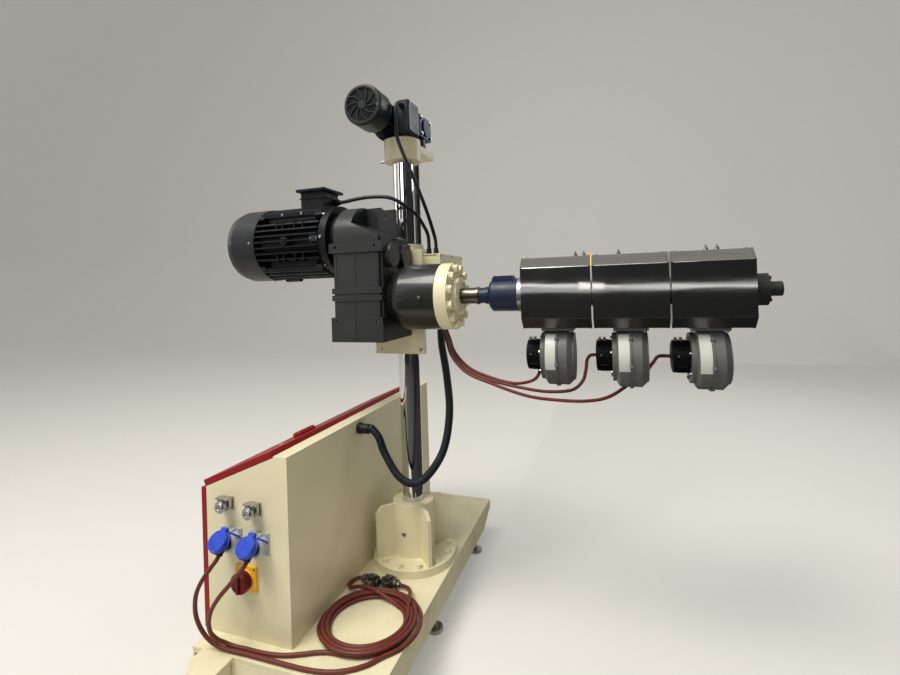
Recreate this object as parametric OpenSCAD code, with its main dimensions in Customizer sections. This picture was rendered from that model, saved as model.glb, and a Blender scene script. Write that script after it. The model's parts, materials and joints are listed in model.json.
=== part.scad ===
// Column-mounted side extruder: a drive head and heated barrel that ride up and
// down a chrome column, on a welded base with a sloped electrical cabinet.
// X runs along the barrel towards its outlet, Y runs back from the near end of
// the base, Z is up from the floor. All sizes are in millimetres.

/* [Base] */
// Height of the deck's top face above the floor
deck_top = 150; // [120:5:200]
// Thickness of the deck plate
deck_t = 12; // [8:1:20]
// Left edge of the deck, measured from the column axis
deck_left = -395; // [-420:5:-340]
// Right edge of the deck
deck_right = 140; // [120:5:200]
// Near edge of the deck
deck_near = -545; // [-600:5:-480]
// Far edge of the deck
deck_far = 483; // [420:1:560]
// Width of a front lug
lug_w = 100; // [80:5:140]
// Length that a front lug reaches past the deck
lug_len = 75; // [40:5:120]
// Height of the side beams under the deck
beam_h = 68; // [50:2:90]
// Width of a side beam
beam_w = 60; // [40:5:80]
// Wall of the side beams and cross beams
beam_wall = 6; // [4:1:10]
// Radius of a levelling foot's pad
foot_r = 28; // [20:1:40]

/* [Cabinet] */
// Left wall of the cabinet
cab_left = -398; // [-430:1:-350]
// Right wall of the cabinet
cab_right = -133; // [-160:1:-110]
// Near end wall
cab_near = -484; // [-520:1:-440]
// Far end wall
cab_far = 482; // [430:1:500]
// Height of the flat strip along the top
cab_top = 638; // [560:1:720]
// Height of the low edge of the slope
cab_low = 538; // [480:1:620]
// Width of the flat strip along the top
cab_strip = 41; // [30:1:60]
// Sheet thickness of the cabinet
sheet = 3; // [2:0.5:4]
// Depth of the folded door and lid trays
tray = 18; // [14:1:25]

/* [Column] */
// Radius of the chrome column
column_r = 35; // [30:1:45]
// Radius of the column's foot flange
flange_r = 138; // [110:1:160]
// Thickness of the foot flange
flange_t = 25; // [15:1:35]
// Outside radius of the foot's hub
hub_r = 68; // [55:1:80]
// Height of the hub's top face above the floor
hub_top = 345; // [300:5:400]
// Underside of the cap at the top of the column
cap_low = 1488; // [1400:1:1600]
// Height of the cap
cap_h = 72; // [60:1:100]
// Radius of the cap
cap_r = 62; // [50:1:75]
// Distance of the lift screw behind the column axis
screw_y = 115; // [95:1:140]
// Radius of the lift screw
screw_r = 12; // [10:1:16]

/* [Carriage] */
// Underside of the carriage sleeve
sleeve_low = 846; // [780:1:900]
// Top of the carriage sleeve
sleeve_top = 1205; // [1100:5:1260]
// Outside radius of the sleeve
sleeve_r = 61; // [50:1:70]
// Left edge of the plate that carries the drive head
plate_left = -86; // [-110:1:-60]
// Right edge of that plate
plate_right = 88; // [60:1:110]
// Running clearance between the column and the sleeve's bearings
bush_gap = 0.08; // [0.04:0.01:0.1]

/* [Drive head] */
// Height of the barrel axis above the floor
axis_z = 1032; // [950:1:1100]
// Distance of the barrel axis in front of the column
axis_y = -170; // [-220:1:-140]
// Height of the motor shaft above the barrel axis
shaft_rise = 183; // [150:1:220]
// Left face of the gearbox
gear_left = -119; // [-150:1:-90]
// Width of the gearbox along the barrel
gear_w = 162; // [130:1:200]
// Half depth of the gearbox
gear_half = 98; // [80:1:110]
// Height of the gearbox's underside
gear_low = 907; // [860:1:940]
// Radius of the thrust bearing housing
thrust_r = 97; // [80:1:110]
// Right end of the thrust bearing housing
thrust_end = 197; // [140:1:200]
// Thickness of the output flange
out_t = 36; // [20:1:45]
// Left end of the motor's fan cover
motor_end = -516; // [-600:1:-480]
// Radius of the motor over its fins
motor_r = 117; // [95:1:135]

/* [Barrel] */
// Radius of the barrel
barrel_r = 34; // [28:1:45]
// Radius of the melt bore
melt_r = 12.5; // [8:0.5:20]
// Left end of the first heater cover
cover_start = 437; // [400:1:480]
// Length of one heater cover
cover_len = 177; // [140:1:220]
// Gap between two heater covers
cover_gap = 4; // [2:1:12]
// Width across a heater cover
cover_w = 164; // [140:1:200]
// Height of a heater cover
cover_h = 186; // [150:1:220]
// Width of a heater cover's corner slopes
cover_slope = 27; // [15:1:40]
// Right end of the outlet nozzle
nozzle_end = 1045; // [1000:1:1100]

/* [Blowers] */
// Distance from a cover's left end to its blower
blower_in = 52; // [30:1:60]
// Width of a blower's scroll housing
blower_w = 72; // [70:1:110]
// Radius of a blower's scroll housing
blower_r = 77; // [60:1:90]
// Height of the blower shafts
blower_z = 864; // [820:1:900]
// Radius of a blower's motor
fan_motor_r = 41; // [30:1:55]
// Length of a blower's motor
fan_motor_len = 39; // [30:1:60]

/* [Lift drive] */
// Sideways offset of the lift motor's shaft from the screw
lift_x = -42; // [-60:1:-20]
// Height of the lift motor's shaft above the cap
lift_rise = 66; // [60:1:90]
// Near end of the lift motor's fan cover
lift_near = -200; // [-260:1:-140]
// Radius of the lift motor's fan cover
lift_r = 64; // [45:1:65]

/* [Cables] */
// Radius of the corrugated conduit to the drive head
conduit_r = 13; // [9:0.5:18]
// Radius of the two motor cables
cable_r = 6; // [4:0.5:9]
// Radius of the two coiled leads
lead_r = 5.5; // [4:0.5:8]
// Mean radius of the coil of leads
coil_r = 116; // [90:1:140]
// Half the width over the turns that lie side by side
coil_w = 25; // [16:1:34]

/* [Hidden] */
$fn = 64;

cream = [0.85, 0.82, 0.68];
red = [0.5, 0.04, 0.05];
anthracite = [0.13, 0.14, 0.15];
black = [0.05, 0.05, 0.06];
navy = [0.05, 0.09, 0.2];
blue = [0.05, 0.13, 0.75];
grey = [0.6, 0.62, 0.62];
steel = [0.7, 0.71, 0.72];
brown = [0.3, 0.09, 0.06];
yellow = [0.9, 0.6, 0.05];

// the whole machine is moved so that its footprint box is centred on the origin
pivot_y = cab_far - 6;
column_x = -(motor_end + nozzle_end) / 2;
column_y = -(deck_near - lug_len + deck_far) / 2;

beam_top = deck_top - deck_t;
beam_low = beam_top - beam_h;
deck_mid = (deck_left + deck_right) / 2;
lug_x = [-311, 2 * deck_mid + 311];
shaft_z = axis_z + shaft_rise;
gear_right = gear_left + gear_w;
gear_near = axis_y - gear_half;
flange_right = thrust_end + out_t;
feed_end = 419;
cap_top = cap_low + cap_h;
lift_z = cap_top + lift_rise;
cover_pitch = cover_len + cover_gap;

// moves a sub-part from the column axis to its place in the shared frame
module placed() translate([column_x, column_y, 0]) children();

// pushes an outline drawn in Y and Z along X
module extrude_x(x, len) translate([x, 0, 0]) rotate([90, 0, 90]) linear_extrude(len) children();

// pushes an outline drawn in X and Z along Y
module extrude_y(y, len) translate([0, y + len, 0]) rotate([90, 0, 0]) linear_extrude(len) children();

// round bar along X from x, centred on the line y, z
module bar_x(x, len, r, y = axis_y, z = axis_z)
    translate([x, y, z]) rotate([0, 90, 0]) cylinder(h = len, r = r);

// round bar along Y from y, centred on the line x, z
module bar_y(y, len, r, x, z) translate([x, y, z]) rotate([-90, 0, 0]) cylinder(h = len, r = r);

// block between two opposite corners
module block(a, b) translate(a) cube(b - a);

// hexagon bolt head standing up from z = 0
module bolt_head(across) {
    cylinder(h = across * 0.18, r = across * 0.62, $fn = 24);
    cylinder(h = across * 0.65, r = across * 0.56, $fn = 6);
}

// Base

// near edge of a front lug from left to right, with its outer corner cut off
function lug_left(x) = [[x - lug_w / 2, deck_near], [x - lug_w / 2, deck_near - lug_len * 0.55],
    [x - lug_w * 0.2, deck_near - lug_len], [x + lug_w / 2, deck_near - lug_len], [x + lug_w / 2, deck_near]];
function lug_right(x) = [for (i = [4:-1:0]) [2 * x - lug_left(x)[i][0], lug_left(x)[i][1]]];

module deck_plate() color(cream) placed() translate([0, 0, beam_top]) linear_extrude(deck_t)
    polygon(concat([[deck_left, deck_far], [deck_left, deck_near]], lug_left(lug_x[0]), lug_right(lug_x[1]),
        [[deck_right, deck_near], [deck_right, deck_far]]));

// section of a hollow beam whose left edge is at x
module beam_section(x) translate([x, beam_low]) difference() {
    square([beam_w, beam_h]);
    translate([beam_wall, beam_wall]) square([beam_w - 2 * beam_wall, beam_h - 2 * beam_wall]);
}

// beam along Y whose far end is cut away underneath
module side_beam(x) difference() {
    extrude_y(deck_near, deck_far - deck_near) beam_section(x);
    extrude_x(x - 1, beam_w + 2)
        polygon([[deck_far - 110, beam_low - 1], [deck_far + 1, beam_low - 1], [deck_far + 1, beam_top - 20]]);
}
module side_beams() color(cream) placed() {
    side_beam(deck_left);
    side_beam(deck_right - beam_w);
}

cross_y = [deck_near, deck_near + 400, deck_far - 398, deck_far - 170];
module cross_beams() color(cream) placed() for (y = cross_y)
    extrude_x(deck_left + beam_w, deck_right - deck_left - 2 * beam_w) beam_section(y);

module front_arms() color(cream) placed() for (x = lug_x)
    block([x - lug_w / 2 + 8, deck_near - lug_len + 12, beam_low], [x + lug_w / 2 - 8, deck_near, beam_top]);

feet = [for (x = lug_x) [x, deck_near - 32],
        for (x = [deck_left, deck_right - beam_w], y = [cross_y[1], cross_y[3]])
            [x + beam_w / 2, y + beam_w / 2]];
module levelling_feet() color(steel) placed() for (p = feet) translate([p[0], p[1], 0]) {
    cylinder(h = 10, r1 = foot_r, r2 = foot_r - 3);
    cylinder(h = beam_low, r = 8);
    translate([0, 0, beam_low - 12]) cylinder(h = 12, r = 14, $fn = 6);
}

// Cabinet

slope_rise = cab_top - cab_low - 4;
slope_run = cab_right - cab_strip - cab_left;
slope_deg = atan2(slope_rise, slope_run);
slope_len = norm([slope_rise, slope_run]);
module cabinet_outline(in = 0) polygon([[cab_left + in, deck_top + in], [cab_right - in, deck_top + in],
    [cab_right - in, cab_top - in], [cab_right - cab_strip, cab_top - in],
    [cab_right - cab_strip, cab_top - 4 - in],
    [cab_left + in, cab_low - in + in * tan(slope_deg)]]);

// puts a piece on the slope: X down the slope from its low edge, Z out of it
module on_slope() translate([cab_left, 0, cab_low]) rotate([0, -slope_deg, 0]) children();

door_edge = 22;
module cabinet_shell() color(cream) placed() difference() {
    extrude_y(cab_near, cab_far - cab_near) cabinet_outline();
    extrude_y(cab_near + sheet, cab_far - cab_near - 2 * sheet) cabinet_outline(sheet);
    block([cab_left - 1, cab_near + door_edge, deck_top + door_edge],
          [cab_left + sheet + 1, cab_far - door_edge, cab_low - door_edge]);
    on_slope() block([door_edge, cab_near + door_edge, -15], [slope_len - door_edge, cab_far - door_edge, 15]);
}

// folded tray with its open side down: X by Y by depth, wall sheet
module tray_panel(x, y) difference() {
    cube([x, y, tray]);
    translate([sheet, sheet, -1]) cube([x - 2 * sheet, y - 2 * sheet, tray - sheet + 1]);
}

door_gap = 2;
door_low = deck_top + 2;
door_high = cab_low - 5;
door_near = cab_near + 3;
pivot_x = cab_left - door_gap - tray + 7;
pin_r = 4;
module cabinet_door() color(red) placed() difference() {
    translate([cab_left - door_gap, door_near, door_low]) rotate([0, -90, 0])
        tray_panel(door_high - door_low, pivot_y + 5 - door_near);
    translate([pivot_x, pivot_y - 1, door_low - 1]) cylinder(h = door_high - door_low + 2, r = pin_r + 0.06);
    for (z = lock_z) bar_x(cab_left - door_gap - tray - 1, sheet + 2, 11, door_near + 30, z);
}

module door_pivots() color(steel) placed() {
    block([pivot_x - 6, pivot_y - 9, door_high + 1.5], [cab_left, pivot_y + 5, door_high + 4]);
    translate([pivot_x, pivot_y - 1, door_high - 12]) cylinder(h = 14, r = pin_r);
    block([pivot_x - 6, pivot_y - 9, door_low - 5], [deck_left, pivot_y + 5, door_low - 2]);
    translate([pivot_x, pivot_y - 1, door_low - 4]) cylinder(h = 16, r = pin_r);
}

lock_in = 60;
lock_z = [door_low + lock_in, door_high - lock_in];
module door_locks() color(steel) placed() for (z = lock_z) {
    bar_x(cab_left - door_gap - tray - 3, 3, 14, door_near + 30, z);
    bar_x(cab_left - door_gap - tray, 18, 10.8, door_near + 30, z);
}

module cabinet_lid() color(red) placed() on_slope()
    translate([-2, cab_near, 0.2]) tray_panel(slope_len, cab_far - cab_near);

// Fittings on the near end of the cabinet

connector_at = [[-322, 503], [-233, 497]];
module panel_connectors() color(steel) placed() for (p = connector_at)
    translate([p[0], cab_near, p[1]]) rotate([90, 0, 0]) {
        block([-18, -18, 0], [18, 18, 4]);
        cylinder(h = 30, r = 13, $fn = 32);
        translate([0, 0, 8]) cylinder(h = 12, r = 16.5, $fn = 32);
        translate([0, 0, 24]) cylinder(h = 10, r = 15, $fn = 32);
        // latch lever: two arms from the coupling's pins to a bar above it
        for (s = [-1, 1]) block([s * 17.5 - 2, -5, 10], [s * 17.5 + 2, 21, 19]);
        block([-19.5, 17, 10], [19.5, 21, 26]);
    }

socket_at = [[-309, 412], [-221, 410]];
module socket_bodies() color(grey) placed() for (p = socket_at)
    translate([p[0], cab_near, p[1]]) rotate([90, 0, 0]) {
        translate([-29, -29, 0]) cube([58, 58, 5]);
        cylinder(h = 26, r = 27);
        translate([-13, 20, 5]) cube([26, 9, 21]);
    }

// deep spring lids held open by the plugs
module socket_lids() color(blue) placed() for (p = socket_at)
    translate([p[0], cab_near - 26.3, p[1] + 29]) rotate([45, 0, 0]) {
        translate([0, -28, 0]) cylinder(h = 4, r = 28);
        translate([0, -28, 3]) cylinder(h = 12, r1 = 26.5, r2 = 25);
        block([-9, -8, 0], [9, 6, 11]);
    }

boot_len = 24;
boot_base = 10;
boot_tip = 49;
module socket_plugs() color(black) placed() for (p = socket_at)
    translate([p[0], cab_near - 26.3, p[1]]) rotate([90, 0, 0]) {
        cylinder(h = 5, r = 19);
        translate([0, 0, 5]) cylinder(h = 10, r1 = 19, r2 = 12);
        translate([0, -4, boot_base]) rotate([boot_tip, 0, 0]) cylinder(h = boot_len, r1 = 11, r2 = 8);
    }

switch_at = [-266, 313];
module switch_plate() color(yellow) placed()
    translate([switch_at[0], cab_near, switch_at[1]]) rotate([90, 0, 0]) {
        block([-33, -33, 0], [33, 33, 8]);
        translate([0, 0, 8]) cylinder(h = 6, r = 26);
    }
module switch_knob() color(red) placed()
    translate([switch_at[0], cab_near - 14.3, switch_at[1]]) rotate([90, 0, 0]) {
        cylinder(h = 18, r = 27);
        translate([0, 0, 18]) cylinder(h = 3, r1 = 27, r2 = 24);
        block([-4, -23, 20], [4, 23, 25]);
    }

gland_at = [cab_right, -120, 608];
module conduit_gland() color(black) placed() {
    bar_x(gland_at[0], 12, 20, gland_at[1], gland_at[2], $fn = 6);
    bar_x(gland_at[0] + 12, 26, 16, gland_at[1], gland_at[2]);
}

// Column and its foot

gusset_outer = flange_r - 5;
gusset_top = hub_top - 3;
// side view of a rib between hub and flange, its top corner cut back by cut
module gusset(cut) polygon([[column_r + 5, deck_top + 1], [gusset_outer, deck_top + 1],
    [gusset_outer, gusset_top - cut[1]], [gusset_outer - cut[0], gusset_top], [column_r + 5, gusset_top]]);
module column_foot() color(cream) placed() difference() {
    union() {
        translate([0, 0, deck_top]) cylinder(h = flange_t, r = flange_r, $fn = 96);
        translate([0, 0, deck_top]) cylinder(h = hub_top - deck_top, r = hub_r);
        for (a = [45:90:315]) rotate([0, 0, a]) translate([0, 6, 0]) rotate([90, 0, 0]) linear_extrude(12)
            gusset(a == 45 ? [32, 62] : [20, 20]);
        for (a = [0:30:330]) if (a % 90 != 45) rotate([0, 0, a])
            translate([flange_r - 20, 0, deck_top + flange_t]) bolt_head(16);
    }
    translate([0, 0, deck_top - 1]) cylinder(h = hub_top, r = column_r + 0.3);
    block([-flange_r - 1, -flange_r, deck_top - 1], [cab_right + 0.5, flange_r, deck_top + flange_t + 1]);
}

module column() color(steel) placed()
    translate([0, 0, deck_top]) cylinder(h = cap_top - 10 - deck_top, r = column_r, $fn = 96);

arm_t = 24;
arm_low = cap_top - arm_t;
module column_cap() color(cream) placed() difference() {
    union() {
        translate([0, 0, cap_low]) cylinder(h = cap_h, r = cap_r);
        block([-40, 0, arm_low], [40, screw_y + 85, cap_top]);
        translate([-cap_r - 10, 0, cap_low + 10]) rotate([0, 90, 0]) cylinder(h = 20, r = 6, $fn = 24);
    }
    translate([0, 0, cap_low - 1]) cylinder(h = cap_h - 8.5, r = column_r + 0.2);
    translate([0, screw_y, arm_low - 1]) cylinder(h = arm_t + 2, r = screw_r + 1);
}

screw_low = sleeve_low + 140;
module lift_screw() color(steel) placed() translate([0, screw_y, screw_low])
    cylinder(h = arm_low + arm_t + 20 - screw_low, r = screw_r, $fn = 32);

// Lift drive on top of the column

worm_low = lift_z - 30;
worm_h = 76;
worm_near = screw_y - 53;
worm_right = 42;
module lift_gearbox() color(navy) placed() difference() {
    union() {
        block([-80, worm_near, worm_low], [worm_right, screw_y + 51, worm_low + worm_h]);
        translate([0, screw_y, cap_top]) cylinder(h = worm_low - cap_top + 4, r = 38);
        bar_y(lift_face + 0.3, worm_near - lift_face, 42, lift_x, lift_z);
        bar_x(worm_right - 1, 7, 30, screw_y - 1, worm_low + worm_h / 2);
        for (y = [worm_near + 11, screw_y + 40], z = [worm_low + 10, worm_low + worm_h - 10])
            translate([worm_right, y, z]) rotate([0, 90, 0]) bolt_head(9);
    }
    translate([0, screw_y, cap_top - 1]) cylinder(h = 25, r = screw_r + 1);
}

// motor body with straight fins all round, drawn across its shaft
module fin_outline(core, tip, fin, step) {
    circle(r = core);
    intersection() {
        circle(r = tip);
        union() {
            for (a = [0, 90], s = [-floor(core * 0.75 / step):floor(core * 0.75 / step)])
                rotate(a) translate([-tip, s * step - fin / 2]) square([2 * tip, fin]);
        }
    }
}

lift_face = 6;
lift_cover_len = 80;
lift_body = lift_near + lift_cover_len;
module lift_motor() color(anthracite) placed() difference() {
    union() {
        translate([lift_x, lift_body, lift_z]) rotate([-90, 0, 0])
            linear_extrude(lift_face - 14 - lift_body) fin_outline(46, 55, 3, 10);
        bar_y(lift_face - 16, 16, lift_r - 2, lift_x, lift_z);
    }
    block([lift_x + 53, lift_box_y[0] - 1, lift_box_z[0]], [lift_x + 70, lift_face - 16, lift_box_z[1]]);
}

// edge of a spun cover from its flat end to its side, as parts of its radius
flat_edge = [[0.86, 0], [0.95, 0.03], [1, 0.12]];
domed_edge = [[0.55, 0], [0.8, 0.05], [0.93, 0.16], [1, 0.38]];
function cover_profile(r, len, edge, in) = concat([[0, in]], [for (c = edge) [r * c[0] - in, r * c[1] + in]],
    [[r - in, len - in], [0, len - in]]);

// ring of openings between curved spokes that leave the hub and sweep round to the rim
module air_openings(hub, rim, spokes, spoke_w, sweep) difference() {
    circle(r = rim);
    circle(r = hub);
    for (i = [0:spokes - 1]) rotate(i * 360 / spokes) intersection() {
        translate([0, -sweep]) difference() {
            circle(r = sweep + spoke_w / 2);
            circle(r = sweep - spoke_w / 2);
        }
        translate([0, -rim]) square([rim + 1, 2 * rim]);
    }
}

// spun cover over the fan, open at its end and closed by the motor behind
module fan_cover(r, len, wall, edge, hub, rim, spokes, spoke_w, sweep) difference() {
    rotate_extrude($fn = 96) polygon(cover_profile(r, len, edge, 0));
    rotate_extrude($fn = 96) polygon(cover_profile(r, len, edge, wall));
    translate([0, 0, -1]) linear_extrude(wall + 2) air_openings(hub, rim, spokes, spoke_w, sweep);
}

module lift_fan_cover() color(anthracite) placed() translate([lift_x, lift_near, lift_z]) rotate([-90, 0, 0])
    fan_cover(lift_r, lift_cover_len, 3, flat_edge, 12, lift_r * 0.8, 10, 3.2, 42);

lift_box_y = [-78, 8];
lift_box_z = [lift_z - 56, lift_z + 46];
lift_box_x = [22, 58];
module lift_terminal_box() color(grey) placed() {
    block([lift_x + 53, lift_box_y[0] + 4, lift_box_z[0] + 8],
          [lift_box_x[0], lift_face - 16.5, lift_box_z[1] - 8]);
    block([lift_box_x[0], lift_box_y[0], lift_box_z[0]], [lift_box_x[1], lift_box_y[1], lift_box_z[1]]);
    bar_y(lift_box_y[0] - 14, 14, 8, lift_gland[0], lift_gland[2], $fn = 24);
}

// Carriage that carries the drive head

plate_t = 14;
carriage_near = axis_y + gear_half;
nut_low = sleeve_top - 60;
module carriage() color(cream) placed() difference() {
    union() {
        translate([0, 0, sleeve_low]) cylinder(h = sleeve_top - sleeve_low, r = sleeve_r);
        block([plate_left, carriage_near, sleeve_low], [plate_right, carriage_near + plate_t, sleeve_top - 20]);
        block([-50, carriage_near + 4, sleeve_low + 10], [50, -20, sleeve_top - 20]);
        block([-34, 0, nut_low], [34, screw_y + 32, sleeve_top - 8]);
        block([30, 10, box_low + 6], [box_left, 44, box_top - 6]);
    }
    translate([0, 0, sleeve_low - 1]) cylinder(h = sleeve_top, r = column_r + bush_gap, $fn = 96);
    translate([0, screw_y, nut_low - 1]) cylinder(h = sleeve_top - nut_low, r = screw_r + 0.1, $fn = 32);
    for (x = [plate_left + 20, plate_right - 14])
        bar_y(carriage_near - 1, plate_t + 2, 6, x, sleeve_low + 14, $fn = 24);
}

box_left = 62;
box_right = 137;
box_near = -30;
box_far = 196;
box_top = 1170;
box_low = 1095;
module junction_box() color(cream) placed() {
    block([box_left, box_near, box_low], [box_right - 12, box_far, box_top - 4]);
    block([box_right - 12, box_near - 4, box_low - 4], [box_right, box_far + 4, box_top]);
    block([box_left, box_near - 4, box_top - 4], [box_right, box_far + 4, box_top]);
}

top_gland = [[86, 0], [108, 8]];
conduit_end = [100, 60, box_low - 30];
harness_start = [112, 20, box_low - 20];
harness_step = 14;
module cable_glands() color(black) placed() {
    for (p = top_gland) translate([p[0], p[1], box_top]) {
        cylinder(h = 8, r = 10, $fn = 6);
        cylinder(h = 20, r = 8, $fn = 24);
    }
    translate(conduit_end) {
        cylinder(h = 30, r = 16, $fn = 24);
        translate([0, 0, 18]) cylinder(h = 12, r = 18, $fn = 6);
    }
    translate(harness_start - [8, 2 * harness_step + 8, 0]) cube([16, 2 * harness_step + 16, 20]);
}

// Drive head

module gear_profile(in = 0) {
    translate([gear_near + in, gear_low + in]) square([2 * gear_half - 2 * in, shaft_z - gear_low - in]);
    translate([axis_y, shaft_z]) circle(r = gear_half - in);
}

// height of the sloped shoulder to the right of the gearbox's dome
dome_right = gear_left + 61;
function shoulder(x) = shaft_z + 43 - (x - dome_right) * 0.45;
module shoulder_cut(x0, x1, y, len) extrude_y(y, len)
    polygon([[x0, shoulder(x0)], [x1, shoulder(x1)], [x1, shaft_z + 140], [x0, shaft_z + 140]]);

boss_at = [[axis_y - 45, axis_z + 128], [axis_y + 48, axis_z + 126]];
module gearbox() color(anthracite) placed() difference() {
    union() {
        difference() {
            union() {
                extrude_x(gear_left + 8, gear_w - 16) gear_profile();
                extrude_x(gear_left, gear_w) gear_profile(8);
            }
            shoulder_cut(dome_right, dome_right + 51, gear_near - 20, gear_half + 30);
            shoulder_cut(dome_right + 50, gear_right + 20, gear_near - 20, 2 * gear_half + 40);
        }
        block([gear_left - 6, gear_near - 7, shaft_z - 46], [gear_right + 6, gear_near + 6, shaft_z - 17]);
        block([gear_left, gear_near, shaft_z - 46], [gear_right + 6, axis_y + gear_half, shaft_z - 17]);
        block([gear_left - 5, gear_near - 5, gear_low], [gear_right + 2, axis_y + gear_half, gear_low + 72]);
        for (z = [axis_z - 4, axis_z + 17])
            block([gear_left - 1, gear_near - 4, z], [gear_right + 1, axis_y, z + 16]);
        bar_x(gear_right - 4, 11, 70);
        for (p = boss_at) bar_x(gear_right - 4, 21, 36, p[0], p[1]);
        block([gear_right - 53, axis_y - 7, shaft_z - 10], [gear_right + 4, axis_y + 7, shaft_z + 85]);
    }
    bar_y(axis_y - 10, 20, 7, gear_right - 24, shaft_z + 63, $fn = 24);
    for (x = [gear_left + 15, gear_right - 18]) bar_y(gear_near - 8, 14, 4, x, shaft_z - 30, $fn = 24);
    for (x = [gear_left + 15, gear_right - 17]) bar_y(gear_near - 8, 14, 4, x, gear_low + 61, $fn = 24);
}

thrust_start = gear_right + 7;
module thrust_housing() color(anthracite) placed()
    translate([thrust_start, axis_y, axis_z]) rotate([0, 90, 0]) rotate_extrude($fn = 96)
        polygon([[0, 0], [thrust_r - 40, 0], [thrust_r - 20, 5], [thrust_r - 6, 18], [thrust_r, 36],
            [thrust_r, thrust_end - thrust_start], [0, thrust_end - thrust_start]]);

boss_len = 17;
module output_flange() color(cream) placed() {
    bar_x(thrust_end, out_t, thrust_r, $fn = 96);
    bar_x(flange_right, boss_len, 55);
    for (a = [15:30:345]) translate([flange_right, axis_y, axis_z]) rotate([a, 0, 0])
        translate([0, 0, thrust_r - 15]) rotate([0, 90, 0]) bolt_head(21);
}

feed_start = 338;
feed_x = 375;
module feed_section() color(navy) placed() difference() {
    union() {
        bar_x(flange_right + boss_len, feed_start - flange_right - boss_len, 22);
        translate([feed_start, axis_y, axis_z]) rotate([0, 90, 0]) cylinder(h = 8, r1 = 38, r2 = 46);
        bar_x(feed_start + 8, feed_end - feed_start - 8, 46);
        block([feed_start + 10, axis_y - 28, axis_z + 30], [feed_end - 14, axis_y + 28, axis_z + 50]);
    }
    translate([feed_x, axis_y, axis_z + 10]) cylinder(h = 60, r = 18);
    bar_x(flange_right + 40, 320, melt_r);
}

barrel_end = 984;
module barrel() color(steel) placed() difference() {
    union() {
        bar_x(feed_end, barrel_end - feed_end, barrel_r);
        bar_x(feed_end, 14, barrel_r + 14);
    }
    bar_x(feed_end - 1, 700, melt_r);
}

module outlet_nozzle() color(anthracite) placed() difference() {
    union() {
        bar_x(barrel_end, 30, 40);
        bar_x(barrel_end + 30, nozzle_end - barrel_end - 30, 18);
        for (a = [30:60:330]) translate([barrel_end + 30, axis_y, axis_z]) rotate([a, 0, 0])
            translate([0, 0, 30]) rotate([0, 90, 0]) bolt_head(9);
    }
    bar_x(barrel_end - 1, 80, 8);
}

// heater cover: eight-sided sheet box with a hole at each end for the barrel
module heater_cover(i) color(steel) placed() {
    x = cover_start + i * cover_pitch;
    difference() {
        extrude_x(x, cover_len) cover_outline(0);
        extrude_x(x + sheet, cover_len - 2 * sheet) cover_outline(sheet);
        bar_x(x - 1, cover_len + 2, barrel_r + 0.3);
    }
}
module cover_outline(in) {
    w = cover_w / 2 - in;
    h = cover_h / 2 - in;
    s = cover_slope - in * 0.6;
    translate([axis_y, axis_z + 4]) polygon([[-w, -h + s], [-w + s, -h], [w - s, -h], [w, -h + s],
        [w, h - s], [w - s, h], [-w + s, h], [-w, h - s]]);
}
module heater_cover_1() heater_cover(0);
module heater_cover_2() heater_cover(1);
module heater_cover_3() heater_cover(2);

cover_low = axis_z + 4 - cover_h / 2;
function blower_x(i) = cover_start + i * cover_pitch + blower_in;

// two pressed halves with sloped sides, joined at a seam, on a bracket plate
module blower_scrolls() color(grey) placed() for (i = [0:2]) difference() {
    union() {
        translate([blower_x(i), axis_y, blower_z]) rotate([0, 90, 0]) rotate_extrude($fn = 96)
            polygon([[0, 0], [blower_r - 9, 0], [blower_r, 7], [blower_r, blower_w - 12],
                [blower_r - 12, blower_w], [0, blower_w]]);
        bar_x(blower_x(i) + blower_w / 2 - 4, 4, blower_r + 4, axis_y, blower_z, $fn = 96);
        extrude_x(blower_x(i) + 6, blower_w - 16)
            translate([axis_y - 30, blower_z]) square([30 + blower_r, cover_low - blower_z - 6]);
        block([blower_x(i) - 6, axis_y - 44, cover_low - 8],
              [blower_x(i) + blower_w + 6, axis_y + blower_r + 6, cover_low]);
        bar_x(blower_x(i) - 10, blower_w + 14, blower_r - 14, axis_y, blower_z);
    }
    block([blower_x(i) - 20, axis_y - 100, cover_low],
          [blower_x(i) + blower_w + 20, axis_y + 100, cover_low + 20]);
}

fan_motor_z = blower_z + 3;
function fan_left(i) = blower_x(i) - 10 - fan_motor_len;
module blower_motors() color(black) placed() for (i = [0:2])
    bar_x(fan_left(i), fan_motor_len, fan_motor_r, axis_y, fan_motor_z);

// Drive motor

fan_cover_len = 128;
motor_body = motor_end + fan_cover_len;
bell_left = gear_left - 41;
term_x = [-263, -178];
term_low = shaft_z + 85;
term_top = shaft_z + 157;
module drive_motor() color(anthracite) placed() difference() {
    union() {
        translate([motor_body, axis_y, shaft_z]) rotate([0, 90, 0])
            linear_extrude(bell_left - motor_body) fin_outline(94, motor_r - 2, 5, 18);
        bar_x(bell_left, 25, motor_r - 8, axis_y, shaft_z);
        bar_x(bell_left + 20, gear_left - bell_left - 20, 86, axis_y, shaft_z);
        bar_x(-355, 55, 12, axis_y, shaft_z - motor_r + 6);
    }
    block([term_x[0] - 0.3, axis_y - 42.3, term_low], [term_x[1] + 0.3, axis_y + 42.3, shaft_z + 140]);
}

module drive_fan_cover() color(anthracite) placed() translate([motor_end, axis_y, shaft_z]) rotate([0, 90, 0])
    fan_cover(motor_r, fan_cover_len, 5, domed_edge, 18, motor_r * 0.5, 12, 5, 55);

term_gland = [term_x[1] + 18, axis_y + 20, shaft_z + 128];
module drive_terminal_box() color(anthracite) placed() {
    block([term_x[0], axis_y - 42, term_low], [term_x[1], axis_y + 42, term_top]);
    block([term_x[0] - 9, axis_y - 56, term_top], [term_x[1] + 11, axis_y + 56, term_top + 9]);
    bar_x(term_x[1], 18, 10, term_gland[1], term_gland[2], $fn = 24);
}

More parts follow.
